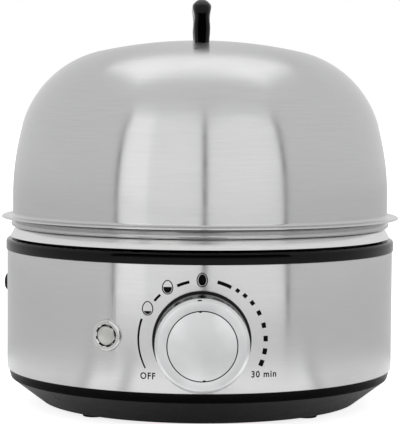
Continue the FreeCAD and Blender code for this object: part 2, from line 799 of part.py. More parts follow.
FOOT_TURNS = ("foot_angle - 90", "270 - foot_angle", "90 - foot_angle", "90 + foot_angle")
POST_TURNS = (90, 210, 330)
BRACKET_SCREWS = (-20, 20)


def make_base_pan():
    """The moulded pan: slanted side, band, spigot, screw bosses and holes for the feet."""
    body = design_body("base_pan")
    cone_top = "shell_radius - pan_ledge_inset - pan_band_draft"
    spigot = "sleeve_bore - fit_gap"
    slope = "(pan_cone_height / pan_cone_inset)"
    inner_side = f"({spigot} - 2)"
    rise = f"({inner_side} - ({cone_top} - pan_cone_inset) + pan_wall / sin(atan({slope}))) * {slope}"
    turned(
        body,
        "wall",
        [
            ("0", "foot_height"),
            (f"{cone_top} - pan_cone_inset", "foot_height"),
            (cone_top, "foot_height + pan_cone_height"),
            ("shell_radius - pan_ledge_inset", "pan_seat_z"),
            (spigot, "pan_seat_z"),
            (spigot, "pan_seat_z + spigot_height"),
            (inner_side, "pan_seat_z + spigot_height"),
            (inner_side, f"foot_height + {rise}"),
            (
                f"{cone_top} - pan_cone_inset + pan_wall / {slope} - pan_wall / sin(atan({slope}))",
                "pan_floor_z",
            ),
            ("0", "pan_floor_z"),
        ],
    )
    bosses = body_sketch(body, "bosses", "XY_Plane", "foot_height")
    for turn in POST_TURNS:
        draw_circle(bosses, *polar("post_circle", turn), "boss_radius")
    pad(body, "boss", bosses, "boss_height")
    pillars = body_sketch(body, "pillars", "XY_Plane", "pan_floor_z - 1")
    for across in BRACKET_SCREWS:
        draw_circle(pillars, across, "panel_y + 10", "boss_radius - 1.2")
    pad(body, "pillar", pillars, "bracket_rise + 1")
    heads = body_sketch(body, "heads", "XY_Plane", "foot_height")
    for turn in POST_TURNS:
        draw_circle(heads, *polar("post_circle", turn), "post_bore * 2 + 0.5")
    pocket(body, "head_recess", heads, "3.4")
    holes = body_sketch(body, "holes", "XY_Plane", "foot_height")
    for turn in POST_TURNS:
        draw_circle(holes, *polar("post_circle", turn), "post_bore + fit_gap")
    for turn in FOOT_TURNS:
        draw_circle(holes, *polar("foot_circle", turn), "foot_stem")
    pocket(body, "through", holes, "boss_height + 2")
    threads = body_sketch(body, "threads", "XY_Plane", "bracket_seat_z - 8")
    for across in BRACKET_SCREWS:
        draw_circle(threads, across, "panel_y + 10", "post_bore")
    pocket(body, "thread", threads, "10")
    slots = body_sketch(body, "slots", "XY_Plane", "foot_height")
    for index in range(5):
        across = 7 * (index - 2)
        draw_box(slots, across - 1.5, 22, across + 1.5, 40)
    pocket(body, "vents", slots, "pan_wall + 1")
    node(body)


def make_base_feet():
    """Four rubber feet with stems that snap through the pan's floor."""
    feet = []
    for index, turn in enumerate(FOOT_TURNS):
        foot = turned_body(
            f"foot_{index}",
            [
                ("0", "0"),
                ("foot_radius - 0.5", "0"),
                ("foot_radius", "foot_height"),
                ("foot_stem", "foot_height"),
                ("foot_stem", "pan_floor_z"),
                ("foot_stem + 0.7", "pan_floor_z"),
                ("foot_stem - 0.7", "pan_floor_z + 2.4"),
                ("0", "pan_floor_z + 2.4"),
            ],
        )
        feet.append(stand(foot, *polar("foot_circle", turn)))
    node(group("base_feet", feet))


def make_tie_posts():
    """Three posts that clamp dish, ring, sleeve and pan together, with their screws."""
    posts, screws = [], []
    for index, turn in enumerate(POST_TURNS):
        place = polar("post_circle", turn)
        eyelet = "tab_wall" if index == 1 else "0"
        rod = cylinder(f"post_rod_{index}", "post_radius", f"dish_under_z - post_seat_z - {eyelet}")
        bore = cylinder(f"post_thread_{index}", "post_bore", "14")
        post = cut(f"post_{index}", rod, [bore])
        posts.append(stand(post, *place, f"post_seat_z + {eyelet}"))
        screw = pan_screw(f"base_screw_{index}", "post_bore", "boss_height + 4", "post_bore * 2", "2.2")
        screws.append(stand(screw, *place, "foot_height + 3.4"))
    node(group("tie_posts", posts))
    node(group("base_screws", screws))


# ---------------------------------------------------------------- heater


def make_heater():
    """The ring heater, its spreader plate, and the strap, stud and nut that clamp it."""
    spreader = stand(
        cylinder("spreader", "spreader_radius", "spreader_wall"), height="spreader_under_z"
    )
    node(named(spreader, "heat_spreader"))
    ring = bind(
        doc.addObject("Part::Torus", "element_ring"),
        Radius1="element_circle",
        Radius2="element_rod",
        Angle3="360 - element_gap_angle",
    )
    ring.setExpression(
        "Placement",
        f"placement(vector(0; 0; {full('element_z')}); "
        f"rotation(vector(0; 0; 1); 90 + {full('element_gap_angle')} / 2))",
    )
    ends = []
    for side in (-1, 1):
        place = polar("element_circle", f"90 + {side} * element_gap_angle / 2")
        ball = bind(doc.addObject("Part::Sphere", f"element_ball_{side + 1}"), Radius="element_rod")
        pin = cylinder(f"element_pin_{side + 1}", "2", "17")
        ends += [stand(ball, *place, "element_z"), stand(pin, *place, "element_z - 17")]
    node(fuse("heating_element", [ring, *ends]))
    strap = block(
        "strap_bar",
        ("-spreader_radius + 3", "-6", "strap_top_z - strap_wall"),
        ("spreader_radius - 3", "6", "strap_top_z"),
    )
    hole = stand(cylinder("strap_hole", "stud_radius + fit_gap", "10"), height="strap_top_z - 5")
    node(cut("clamp_strap", strap, [hole]))
    stud = cylinder("stud", "stud_radius", "spreader_under_z - strap_top_z + strap_wall + 6")
    node(named(stand(stud, height="strap_top_z - strap_wall - 6"), "clamp_stud"))
    nut = prism("nut_blank", 6, "4.04", "3.2")
    bore = stand(cylinder("nut_bore", "stud_radius + 0.02", "5"), height="-1")
    node(stand(cut("clamp_nut", nut, [bore]), height="strap_top_z - strap_wall - 3.2"))


def make_thermostat():
    """The dry-boil thermostat under the spreader, its bracket and screws, and the fuse."""
    depth = "thermostat_offset"
    cap = stand(cylinder("thermostat_cap", "thermostat_radius", "2"), "0", depth, "spreader_under_z - 2")
    case = cylinder("thermostat_case", "thermostat_radius - 1", "11")
    stand(case, "0", depth, "spreader_under_z - 12.5")
    blades = [
        block(
            f"thermostat_blade_{side + 1}",
            (f"{side * 5} - tab_wall / 2", f"{depth} - 2", "spreader_under_z - 20"),
            (f"{side * 5} + tab_wall / 2", f"{depth} + 2", "spreader_under_z - 12"),
        )
        for side in (-1, 1)
    ]
    node(fuse("thermostat", [cap, case, *blades]))
    plate = block(
        "thermostat_plate",
        ("-16", f"{depth} - thermostat_radius - 1", "spreader_under_z - 2.8"),
        ("16", f"{depth} + thermostat_radius + 1", "spreader_under_z - 2"),
    )
    tools = [stand(cylinder("plate_bore", "thermostat_radius - 1", "4"), "0", depth, "spreader_under_z - 4")]
    spacers, screws = [], []
    for side in (-1, 1):
        across = str(13 * side)
        drill = cylinder(f"plate_drill_{side + 1}", "1.5", "4")
        tools.append(stand(drill, across, depth, "spreader_under_z - 4"))
        spacer = cylinder(f"plate_spacer_{side + 1}", "2.6", "2")
        bore = cylinder(f"spacer_bore_{side + 1}", "1.5", "2")
        spacers.append(
            stand(cut(f"spacer_{side + 1}", spacer, [bore]), across, depth, "spreader_under_z - 2")
        )
        screw = pan_screw(f"plate_screw_{side + 1}", "1.5", "2.8", "2.8", "1.6")
        screws.append(stand(screw, across, depth, "spreader_under_z - 2.8"))
    node(cut("thermostat_bracket", plate, tools))
    node(group("thermostat_spacers", spacers))
    node(group("thermostat_screws", screws))


def lie_across(target, depth, height):
    """Lay an upright object along X, centred on its own origin's place."""
    target.setExpression(
        "Placement",
        f"placement(vector(0; {full(depth)}; {full(height)}); rotation(vector(0; 1; 0); 90))",
    )
    return target


def make_thermal_fuse():
    """The one-shot fuse in its sleeve, pressed up against the spreader by the heat."""
    height, depth = "spreader_under_z - 3", "-fuse_offset"
    core = stand(cylinder("fuse_core", "2", "14"), height="-7")
    leads = stand(cylinder("fuse_leads", "0.6", "32"), height="-16")
    node(lie_across(fuse("thermal_fuse", [core, leads]), depth, height))
    sleeve = stand(cylinder("fuse_sleeve_outside", "2.9", "26"), height="-13")
    bore = stand(cylinder("fuse_sleeve_bore", "2.2", "26"), height="-13")
    node(lie_across(cut("fuse_sleeve", sleeve, [bore]), depth, height))


# ---------------------------------------------------------------- timer and knob


def make_control_bracket():
    """The bent bracket that carries the timer behind the panel."""
    body = design_body("control_bracket")
    half = "timer_width / 2 + 6"
    seat = "bracket_seat_z"
    plate = draw_box(
        body_sketch(body, "plate", "XZ_Plane", "-panel_y - plate_wall"),
        f"-({half})",
        seat,
        half,
        "knob_height + timer_width / 2",
    )
    pad(body, "upright", plate, "plate_wall")
    flange = draw_box(
        body_sketch(body, "flange", "XY_Plane", seat),
        f"-({half})",
        "panel_y",
        half,
        "panel_y + 16",
    )
    pad(body, "foot", flange, "plate_wall")
    holes = body_sketch(body, "holes", "XZ_Plane", "-panel_y - plate_wall - 1")
    draw_circle(holes, "0", "knob_height", "bush_radius + fit_gap")
    for side in (-1, 1):
        draw_circle(holes, f"{side} * (timer_width / 2 - 5)", "knob_height", "1.5")
    pocket(body, "bores", holes, "plate_wall + 2")
    drills = body_sketch(body, "drills", "XY_Plane", f"{seat} - 1")
    for across in BRACKET_SCREWS:
        draw_circle(drills, across, "panel_y + 10", "post_bore + fit_gap")
    pocket(body, "foot_holes", drills, "plate_wall + 2")
    node(body)
    screws = []
    for index, across in enumerate(BRACKET_SCREWS):
        screw = pan_screw(f"bracket_screw_{index}", "post_bore", "7", "post_bore * 1.8", "1.8")
        screw.setExpression(
            "Placement",
            f"placement(vector({across}; {full('panel_y + 10')}; {full(seat + ' + plate_wall')}); "
            "rotation(vector(1; 0; 0); 180))",
        )
        screws.append(screw)
    node(group("bracket_screws", screws))


def make_timer():
    """The timer: steel cover with a bush, hollow case, blades, bell and screws."""
    half = "timer_width / 2"
    back = "-panel_y - plate_wall"
    cover = block(
        "cover_plate",
        (f"-({half})", f"-({half})", f"{back} - 1"),
        (half, half, back),
    )
    bush = stand(cylinder("cover_bush", "bush_radius", "panel_inset - 4"), height=back)
    bore = stand(cylinder("cover_bore", "shaft_radius + run_gap", "40"), height=f"{back} - 20")
    threads = [
        stand(cylinder(f"cover_thread_{side + 1}", "1.5", "4"), f"{side} * ({half} - 5)", "0", f"{back} - 2")
        for side in (-1, 1)
    ]
    cover_node = cut("timer_cover", fuse("cover_blank", [cover, bush]), [bore, *threads])
    node(face_out(cover_node, "0", "knob_height"))
    case = block(
        "case_outside",
        (f"-({half})", f"-({half})", f"{back} - 1 - timer_depth"),
        (half, half, f"{back} - 1"),
    )
    rounded = doc.addObject("Part::Fillet", "case_rounded")
    rounded.Base = case
    doc.recompute()
    upright = [
        index
        for index, edge in enumerate(case.Shape.Edges, start=1)
        if abs(edge.Vertexes[0].X - edge.Vertexes[1].X) < 0.01
        and abs(edge.Vertexes[0].Y - edge.Vertexes[1].Y) < 0.01
    ]
    rounded.Edges = [(index, 3.0, 3.0) for index in upright]
    hollow = block(
        "case_hollow",
        (f"timer_wall - {half}", f"timer_wall - {half}", f"{back} - 1 - timer_depth + timer_wall"),
        (f"{half} - timer_wall", f"{half} - timer_wall", f"{back} + 1"),
    )
    lugs = [
        stand(cylinder(f"case_lug_{side + 1}", "4", "9"), f"{side} * ({half} - 5)", "0", f"{back} - 10")
        for side in (-1, 1)
    ]
    lug_bores = [
        stand(cylinder(f"lug_bore_{side + 1}", "1.5", "8"), f"{side} * ({half} - 5)", "0", f"{back} - 8")
        for side in (-1, 1)
    ]
    shell = cut("case_shell", rounded, [hollow])
    trimmed = doc.addObject("Part::MultiCommon", "lugs_in_case")
    trimmed.Shapes = [fuse("lugs", lugs), case]
    case_node = cut("timer_case", fuse("case_blank", [shell, trimmed]), lug_bores)
    node(face_out(case_node, "0", "knob_height"))
    blades = [
        block(
            f"timer_blade_{side + 1}",
            (f"{15 * side} - tab_width / 2", "-18 - tab_wall / 2", f"{back} - 9 - timer_depth"),
            (f"{15 * side} + tab_width / 2", "-18 + tab_wall / 2", f"{back} - 1 - timer_depth"),
        )
        for side in (-1, 1)
    ]
    node(face_out(group("timer_terminals", blades), "0", "knob_height"))
    bell_back = f"({back} - 1 - timer_depth)"
    bell = turned_body(
        "timer_bell",
        [
            ("1.6", f"{bell_back} - 8"),
            ("bell_radius - 5", f"{bell_back} - 8", "5", 1),
            ("bell_radius", f"{bell_back} - 3"),
            ("bell_radius", f"{bell_back} - 0.6"),
            ("bell_radius - 0.8", f"{bell_back} - 0.6"),
            ("bell_radius - 0.8", f"{bell_back} - 3", "4.2", -1),
            ("bell_radius - 5", f"{bell_back} - 7.2"),
            ("1.6", f"{bell_back} - 7.2"),
        ],
    )
    node(face_out(bell, "0", "knob_height"))
    bolt_rod = stand(cylinder("bell_bolt_rod", "1.6", "8"), height=f"{bell_back} - 8")
    bolt_head = stand(prism("bell_bolt_head", 6, "3.2", "2"), height=f"{bell_back} - 10")
    bolt_foot = stand(cylinder("bell_bolt_foot", "2.6", "7.2"), height=f"{bell_back} - 7.2")
    node(face_out(fuse("bell_bolt", [bolt_rod, bolt_head, bolt_foot]), "0", "knob_height"))
    screws = []
    for index, side in enumerate((-1, 1)):
        screw = pan_screw(f"timer_screw_{index}", "1.5", "7", "2.8", "1.8")
        screw.setExpression(
            "Placement",
            f"placement(vector({full(f'{side} * ({half} - 5)')}; 0; {full('-panel_y')}); "
            "rotation(vector(1; 0; 0); 180))",
        )
        screws.append(screw)
    node(face_out(group("timer_screws", screws), "0", "knob_height"))


def make_shaft():
    """The timer's shaft with its flat, and the mainspring barrel that it carries."""
    back, tip = "(-panel_y - plate_wall)", "(knob_front - cap_depth - 3)"
    rod = stand(cylinder("shaft_rod", "shaft_radius", f"{tip} - {back} + 18"), height=f"{back} - 18")
    flat = block(
        "shaft_flat_cut",
        ("-shaft_radius - 1", "shaft_radius - shaft_flat", "knob_rear + 3"),
        ("shaft_radius + 1", "shaft_radius + 1", f"{tip} + 1"),
    )
    node(face_out(cut("timer_shaft", rod, [flat]), "0", "knob_height"))
    barrel = cylinder("barrel_outside", "12", "7")
    bore = cylinder("barrel_bore", "shaft_radius", "7")
    barrel_node = cut("timer_barrel", barrel, [bore])
    lift = f"{back} - 15"
    barrel_node.setExpression(
        "Placement",
        f"placement(vector(0; -({full(lift)}); {full('knob_height')}); rotation(vector(1; 0; 0); 90))",
    )
    node(barrel_node)


def make_knob():
    """The moulded knob with its skirt and hub, its metal cap and its spring clip."""
    front = "(knob_front - cap_depth)"
    body = design_body("knob_body")
    turned(
        body,
        "outside",
        [
            ("knob_skirt - knob_wall", "knob_rear"),
            ("knob_skirt", "knob_rear"),
            ("knob_skirt", "knob_rear + 1.2", "1.6", 1),
            ("knob_skirt - 1.1", "knob_rear + 2.5"),
            ("knob_radius", front),
            ("0", front),
            ("0", f"{front} - knob_wall"),
            ("knob_radius - knob_wall", f"{front} - knob_wall"),
        ],
    )
    hub = body_sketch(body, "hub", "XY_Plane", "knob_rear + 2")
    draw_circle(hub, "0", "0", "shaft_radius + 3")
    pad(body, "hub_post", hub, f"{front} - knob_rear - 2 - knob_wall / 2")
    clear = "shaft_radius"
    bore = body_sketch(body, "bore", "XY_Plane", "knob_rear + 1")
    draw_circle(bore, "0", "0", clear)
    pocket(body, "shaft_bore", bore, f"{front} - knob_rear - 4")
    clip_slot = body_sketch(body, "clip_slot", "XY_Plane", "knob_rear + 1")
    draw_box(clip_slot, "-2.4", "0", "2.4", "shaft_radius + 0.6")
    pocket(body, "clip_room", clip_slot, "10")
    node(face_out(body, "0", "knob_height"))
    cap = turned_body(
        "knob_cap",
        [
            ("0", front),
            ("knob_radius", front),
            ("knob_radius", "knob_front - 0.8 * cap_bevel"),
            ("knob_radius - cap_bevel", "knob_front"),
            ("groove_radius + 0.2", "knob_front"),
            ("groove_radius + 0.2", "knob_front - 0.3"),
            ("groove_radius - 0.2", "knob_front - 0.3"),
            ("groove_radius - 0.2", "knob_front"),
            ("0", "knob_front"),
        ],
    )
    node(face_out(cap, "0", "knob_height"))
    clip = block(
        "clip_leaf",
        ("-2", "shaft_radius - shaft_flat + 0.1", "knob_rear + 3.4"),
        ("2", "shaft_radius - shaft_flat + 0.6", "knob_rear + 10.5"),
    )
    hook = block(
        "clip_hook",
        ("-2", "shaft_radius - shaft_flat + 0.1", "knob_rear + 3.4"),
        ("2", "shaft_radius + 0.5", "knob_rear + 3.9"),
    )
    node(face_out(fuse("knob_clip", [clip, hook]), "0", "knob_height"))


# ---------------------------------------------------------------- lamp, gland and wiring


def make_lamp():
    """The panel lamp: bezel with barrel, lens, nut, holder and neon tube."""
    seat = "shell_radius"
    place = ("lamp_angle", "lamp_height")
    bezel = turned_body(
        "indicator_bezel",
        [
            ("lens_radius + 0.1", f"{seat} - 12"),
            ("lamp_barrel", f"{seat} - 12"),
            ("lamp_barrel", seat),
            ("bezel_radius", seat),
            ("bezel_radius", f"{seat} + bezel_rise - 0.6", "0.6", 1),
            ("bezel_radius - 0.6", f"{seat} + bezel_rise"),
            ("lens_radius + 1", f"{seat} + bezel_rise"),
            ("lens_radius + 0.1", f"{seat} + bezel_rise - 0.6"),
        ],
    )
    node(face_out(bezel, *place))
    lens = turned_body(
        "indicator_lens",
        [
            ("0", f"{seat} - 6"),
            ("lens_radius", f"{seat} - 6"),
            (
                "lens_radius",
                f"{seat} + bezel_rise + 0.2",
                "(lens_radius * lens_radius + lens_crown * lens_crown) / (2 * lens_crown)",
                1,
            ),
            ("0", f"{seat} + bezel_rise + 0.2 + lens_crown"),
        ],
    )
    node(face_out(lens, *place))
    nut_front = "(sleeve_bore - 0.65)"
    nut = stand(prism("lamp_nut_blank", 6, "bezel_radius + 1", "2.6"), height=f"{nut_front} - 2.6")
    bore = stand(cylinder("lamp_nut_bore", "lamp_barrel + 0.02", "8"), height=f"{nut_front} - 5")
    node(face_out(cut("indicator_nut", nut, [bore]), *place))
    holder = stand(cylinder("holder_outside", "lens_radius", "17.5"), height=f"{seat} - 24")
    hollow = stand(cylinder("holder_bore", "3", "17"), height=f"{seat} - 22")
    node(face_out(cut("lamp_holder", holder, [hollow]), *place))
    tube = stand(cylinder("neon_tube", "2.6", "13"), height=f"{seat} - 20.5")
    tip = bind(doc.addObject("Part::Sphere", "neon_tip"), Radius="2.6")
    stand(tip, height=f"{seat} - 9.3")
    node(face_out(fuse("indicator_lamp", [tube, tip]), *place))


def make_cord_gland():
    """The bush in the sleeve's side that the supply cord comes out of."""
    gland = turned_body(
        "cord_gland",
        [
            ("cord_bore", "shell_radius - 9"),
            ("gland_barrel", "shell_radius - 9"),
            ("gland_barrel", "shell_radius"),
            ("gland_flange", "shell_radius"),
            ("gland_flange", "shell_radius + 1.3"),
            ("gland_nose", "shell_radius + 1.6"),
            ("gland_nose", "shell_radius + 4.6"),
            ("gland_nose - 0.4", "shell_radius + 5"),
            ("cord_bore", "shell_radius + 5"),
        ],
    )
    node(face_out(gland, "gland_angle", "gland_height"))
    collar_front = "(sleeve_bore - 0.6)"
    collar = stand(cylinder("collar_outside", "gland_flange", "2"), height=f"{collar_front} - 2")
    bore = stand(cylinder("collar_bore", "gland_barrel", "6"), height=f"{collar_front} - 4")
    node(face_out(cut("gland_retainer", collar, [bore]), "gland_angle", "gland_height"))


POLE_SHIFTS = (-11, 0, 11)


def make_terminal_block():
    """The three-way block on the pan's floor, its screws and the earth eyelet."""
    left, right = "-block_offset - block_width / 2", "-block_offset + block_width / 2"
    front, back = "block_shift - block_length / 2", "block_shift + block_length / 2"
    case = block("block_case", (left, front, "pan_floor_z"), (right, back, "pan_floor_z + 11"))
    node(named(case, "terminal_block"))
    screws = []
    for shift in POLE_SHIFTS:
        head = cylinder(f"pole_head_{shift + 11}", "1.9", "1.4")
        place = ("-block_offset", f"block_shift + {shift}", "pan_floor_z + 11")
        slot_low = (f"{place[0]} - 3", f"{place[1]} - 0.3", "pan_floor_z + 11.7")
        slot_high = (f"{place[0]} + 3", f"{place[1]} + 0.3", "pan_floor_z + 13")
        slot = block(f"pole_slot_{shift + 11}", slot_low, slot_high)
        screws.append(cut(f"pole_screw_{shift + 11}", stand(head, *place), [slot]))
    node(group("terminal_screws", screws))
    post = polar("post_circle", POST_TURNS[1])
    ring = stand(cylinder("eyelet_ring", "post_radius + 2.5", "tab_wall"), *post, "post_seat_z")
    blade = block(
        "eyelet_blade",
        ("-block_offset - tab_width / 2", post[1], "post_seat_z"),
        ("-block_offset + tab_width / 2", f"{front} - 10", "post_seat_z + tab_wall"),
    )
    hole = stand(cylinder("eyelet_hole", "post_bore + fit_gap", "4"), *post, "post_seat_z - 2")
    node(cut("earth_eyelet", fuse("eyelet_blank", [ring, blade]), [hole]))


def make_wiring():
    """The insulated wires inside the base, each from the face of one piece to another's."""
    wire, lamp_wire = number("wire_radius"), number("lamp_wire_radius")
    block_x = number("-block_offset + block_width / 2")
    block_y = [number("block_shift") + shift for shift in POLE_SHIFTS]
    low = number("post_seat_z + tab_wall / 2")
    high = low + 3.6
    blade_y = number("panel_y + plate_wall + 9 + timer_depth")
    blade_z = number("knob_height - 18")
    spot_y, spot_z = number("thermostat_offset"), number("spreader_under_z - 20")
    fuse_y, fuse_z = number("-fuse_offset"), number("spreader_under_z - 3")
    pin_x = number("element_circle * sin(element_gap_angle / 2)")
    pin_y = number("element_circle * cos(element_gap_angle / 2)")
    pin_z = number("element_z - 17")
    block_front = number("block_shift - block_length / 2")
    earth_x = number("-block_offset")
    node(
        bent_tube(
            "earth_wire", wire, [(earth_x, block_front, low), (earth_x, block_front - 10, low)]
        )
    )
    node(
        bent_tube(
            "live_wire",
            wire,
            [
                (block_x, block_y[1], low),
                (block_x + 13, block_y[1], low),
                (block_x + 25, 2, low + 2),
                (-15, blade_y + 30, blade_z - 4),
                (-15, blade_y + 15, blade_z),
                (-15, blade_y, blade_z),
            ],
        )
    )
    node(
        bent_tube(
            "thermostat_wire",
            wire,
            [
                (15, blade_y, blade_z),
                (15, blade_y + 16, blade_z),
                (15, blade_y + 32, blade_z - 2),
                (14, spot_y - 20, blade_z - 3),
                (8, spot_y - 5, blade_z + 1),
                (5, spot_y, spot_z - 10),
                (5, spot_y, spot_z),
            ],
        )
    )
    node(
        bent_tube(
            "fuse_wire",
            wire,
            [
                (-5, spot_y, spot_z),
                (-5, spot_y, spot_z - 9),
                (-11, spot_y - 8, spot_z - 14),
                (-22, spot_y - 20, spot_z - 10),
                (-29, fuse_y + 12, spot_z + 2),
                (-31, fuse_y + 2, fuse_z - 7),
                (-25, fuse_y, fuse_z),
                (-16, fuse_y, fuse_z),
            ],
        )
    )
    node(
        bent_tube(
            "heater_wire",
            wire,
            [
                (16, fuse_y, fuse_z),
                (25, fuse_y, fuse_z),
                (31, fuse_y + 3, fuse_z - 6),
                (33, fuse_y + 16, spot_z + 2),
                (30, 14, spot_z - 8),
                (21, pin_y - 8, pin_z - 18),
                (pin_x, pin_y, pin_z - 10),
                (pin_x, pin_y, pin_z),
            ],
        )
    )
    node(
        bent_tube(
            "neutral_wire",
            wire,
            [
                (block_x, block_y[2], low),
                (block_x + 10, block_y[2], low),
                (block_x + 22, block_y[2] + 7, low + 3),
                (-pin_x - 2, pin_y - 3, low + 12),
                (-pin_x, pin_y, pin_z - 12),
                (-pin_x, pin_y, pin_z),
            ],
        )
    )
    turn, reach = math.radians(number("lamp_angle")), number("shell_radius - 24")
    inward = Vector(math.sin(turn), math.cos(turn), 0)
    aside = Vector(math.cos(turn), -math.sin(turn), 0)
    rear = Vector(0, 0, number("lamp_height")) - inward * reach
    routes = []
    for side in (-1, 1):
        start = rear + aside * (1.7 * side)
        lead = start + inward * 11
        pole = 5.5 * side + block_y[1]
        routes.append(
            [
                tuple(start),
                tuple(lead),
                (lead.x - 1, lead.y + 13, lead.z - 10),
                (block_x + 19 + side, 0.4 * pole - 10, high + 8),
                (block_x + 11 + side, pole, high),
                (block_x, pole, high),
            ]
        )
    node(bent_tube("lamp_wires", lamp_wire, *routes))


make_lid_dome()
make_lid_handle()
make_handle_fasteners()
make_egg_rack()
make_rack_lift_loops()
make_heating_dish()
make_trim_ring()
make_outer_shell()
make_base_pan()
make_base_feet()
make_tie_posts()
make_heater()
make_thermostat()
make_thermal_fuse()
make_control_bracket()
make_timer()
make_shaft()
make_knob()
make_lamp()
make_cord_gland()
make_terminal_block()
make_wiring()
doc.recompute()

faults = [o.Label for o in doc.Objects if {"Invalid", "Error"} & set(o.State)]
faults += [n.Label for n in nodes if n.Shape.isNull() or not n.Shape.isValid()]
if faults:
    raise ValueError(f"these objects failed: {sorted(set(faults))}")
for made in nodes:
    made.Shape.exportStep(f"parts/{made.Label}.step")
    print(f"{made.Label}: {len(made.Shape.Solids)} solids, {made.Shape.Volume:.0f} mm3")
print(f"{len(nodes)} nodes")
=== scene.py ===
"""Gives a round egg cooker its visible surfaces, finishes, stage and camera.

The solid parts are loaded as a fixed frame. Each visible piece is made around them in
metres: +Z is up, the control panel faces -Y, and the housing's axis is the Z axis.
"""

import json
import math

import bmesh
import bpy
from bpy.props import FloatProperty
from bpy.props import FloatVectorProperty
from bpy.props import IntProperty
from bpy.props import PointerProperty
from mathutils import Matrix
from mathutils import Vector


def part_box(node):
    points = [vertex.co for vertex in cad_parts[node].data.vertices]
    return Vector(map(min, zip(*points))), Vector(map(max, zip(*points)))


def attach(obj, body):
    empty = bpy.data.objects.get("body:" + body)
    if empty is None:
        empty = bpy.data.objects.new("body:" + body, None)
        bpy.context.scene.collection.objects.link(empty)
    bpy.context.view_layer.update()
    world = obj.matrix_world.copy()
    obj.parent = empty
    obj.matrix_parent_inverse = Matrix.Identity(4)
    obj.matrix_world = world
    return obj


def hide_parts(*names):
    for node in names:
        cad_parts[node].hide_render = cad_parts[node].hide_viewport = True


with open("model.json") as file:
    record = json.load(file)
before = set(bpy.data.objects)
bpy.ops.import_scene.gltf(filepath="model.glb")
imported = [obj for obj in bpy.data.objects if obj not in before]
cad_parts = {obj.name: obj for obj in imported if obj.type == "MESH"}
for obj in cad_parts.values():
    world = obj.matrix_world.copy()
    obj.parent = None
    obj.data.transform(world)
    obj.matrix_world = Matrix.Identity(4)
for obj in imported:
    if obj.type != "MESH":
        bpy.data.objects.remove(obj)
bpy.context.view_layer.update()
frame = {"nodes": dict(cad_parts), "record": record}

bl_info = {
    "name": "Egg Cooker Look",
    "version": (1, 0, 0),
    "blender": (4, 5, 0),
    "location": "3D View > Sidebar > Egg Cooker",
    "description": "Makes the visible surfaces and finishes of a round egg cooker",
    "category": "Object",
}

MM = 0.001
SHARP_ANGLE = math.radians(32)
ARC_STEP = math.radians(5)
WELD = 1e-6
DRILL_REACH = 10 * MM


# ---------------------------------------------------------------- properties


def length(name, default, description):
    """A length property; its default is in millimetres."""
    return FloatProperty(
        name=name,
        description=description,
        default=default * MM,
        unit="LENGTH",
        subtype="DISTANCE",
        precision=5,
    )


def angle(name, default, description):
    """An angle property; its default is in degrees."""
    return FloatProperty(
        name=name,
        description=description,
        default=math.radians(default),
        unit="ROTATION",
        subtype="ANGLE",
    )


def colour(name, default, description):
    """A colour property."""
    return FloatVectorProperty(
        name=name, description=description, default=default, subtype="COLOR", min=0.0, max=1.0
    )


def level(name, default, description):
    """A plain factor."""
    return FloatProperty(name=name, description=description, default=default)


def reach(node, axis, end):
    """Where a node of the frame ends on an axis, in millimetres."""
    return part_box(node)[end][axis] / MM


class HousingSizes(bpy.types.PropertyGroup):
    """Sizes of the housing's visible pieces."""

    sides: IntProperty(name="Sides", description="Divisions of a turned piece", default=256)
    shell_radius: length("Sleeve radius", reach("outer_shell", 0, 1), "Outside of the sleeve")
    shell_low: length("Sleeve foot", reach("outer_shell", 2, 0), "Height of the sleeve's foot")
    shell_high: length("Sleeve top", reach("outer_shell", 2, 1), "Height of the sleeve's top")
    sheet: length("Sheet", 0.8, "Thickness of the drawn steel")
    fit_gap: length("Fit gap", 0.2, "Gap between shells that nest")
    spigot_height: length("Spigot height", 6.0, "How far ring and pan reach into the sleeve")
    spigot_wall: length("Spigot wall", 2.0, "Wall of the spigots")
    ring_radius: length("Ring radius", reach("trim_ring", 0, 1), "Outside of the trim ring")
    ring_height: length("Ring height", 5.0, "Visible height of the trim ring")
    ring_round: length("Ring rounding", 1.4, "Rounding of the ring's top edge")
    rim_high: length("Dish rim", reach("heating_dish", 2, 1), "Height of the dish's rim")
    dish_inset: length("Dish inset", 6.6, "How far the dish's wall stands in from the sleeve")
    dish_depth: length("Dish depth", 17.5, "Depth of the water dish")
    skirt_height: length("Skirt height", 4.3, "Height of the dish's folded skirt")
    skirt_flare: angle("Skirt flare", 62.3, "Slope of the skirt below level")
    pan_low: length("Pan underside", reach("base_pan", 2, 0), "Height of the pan's underside")
    pan_wall: length("Pan wall", 2.2, "Wall of the moulded pan")
    pan_ledge: length("Pan ledge", 0.5, "How far the pan stands in from the sleeve")
    cone_height: length("Cone height", 11.1, "Height of the pan's slanted side")
    cone_inset: length("Cone inset", 14.6, "How far the slanted side runs inwards")
    band_draft: length("Band draft", 1.2, "How much the pan's band narrows downwards")
    foot_circle: length("Foot circle", 66.0, "Distance of a foot from the axis")
    foot_radius: length("Foot radius", 5.3, "Radius of a foot")
    foot_draft: length("Foot draft", 0.5, "How much a foot narrows downwards")
    post_circle: length("Screw circle", 60.0, "Distance of a base screw from the axis")
    well_radius: length("Screw well", 3.7, "Radius of the well round a base screw")
    gland_turn: angle("Gland turn", 103.0, "Turn of the cord gland from the knob")
    gland_height: length("Gland height", 53.6, "Height of the cord gland")
    gland_hole: length("Gland hole", 5.2, "Radius of the hole for the cord gland")


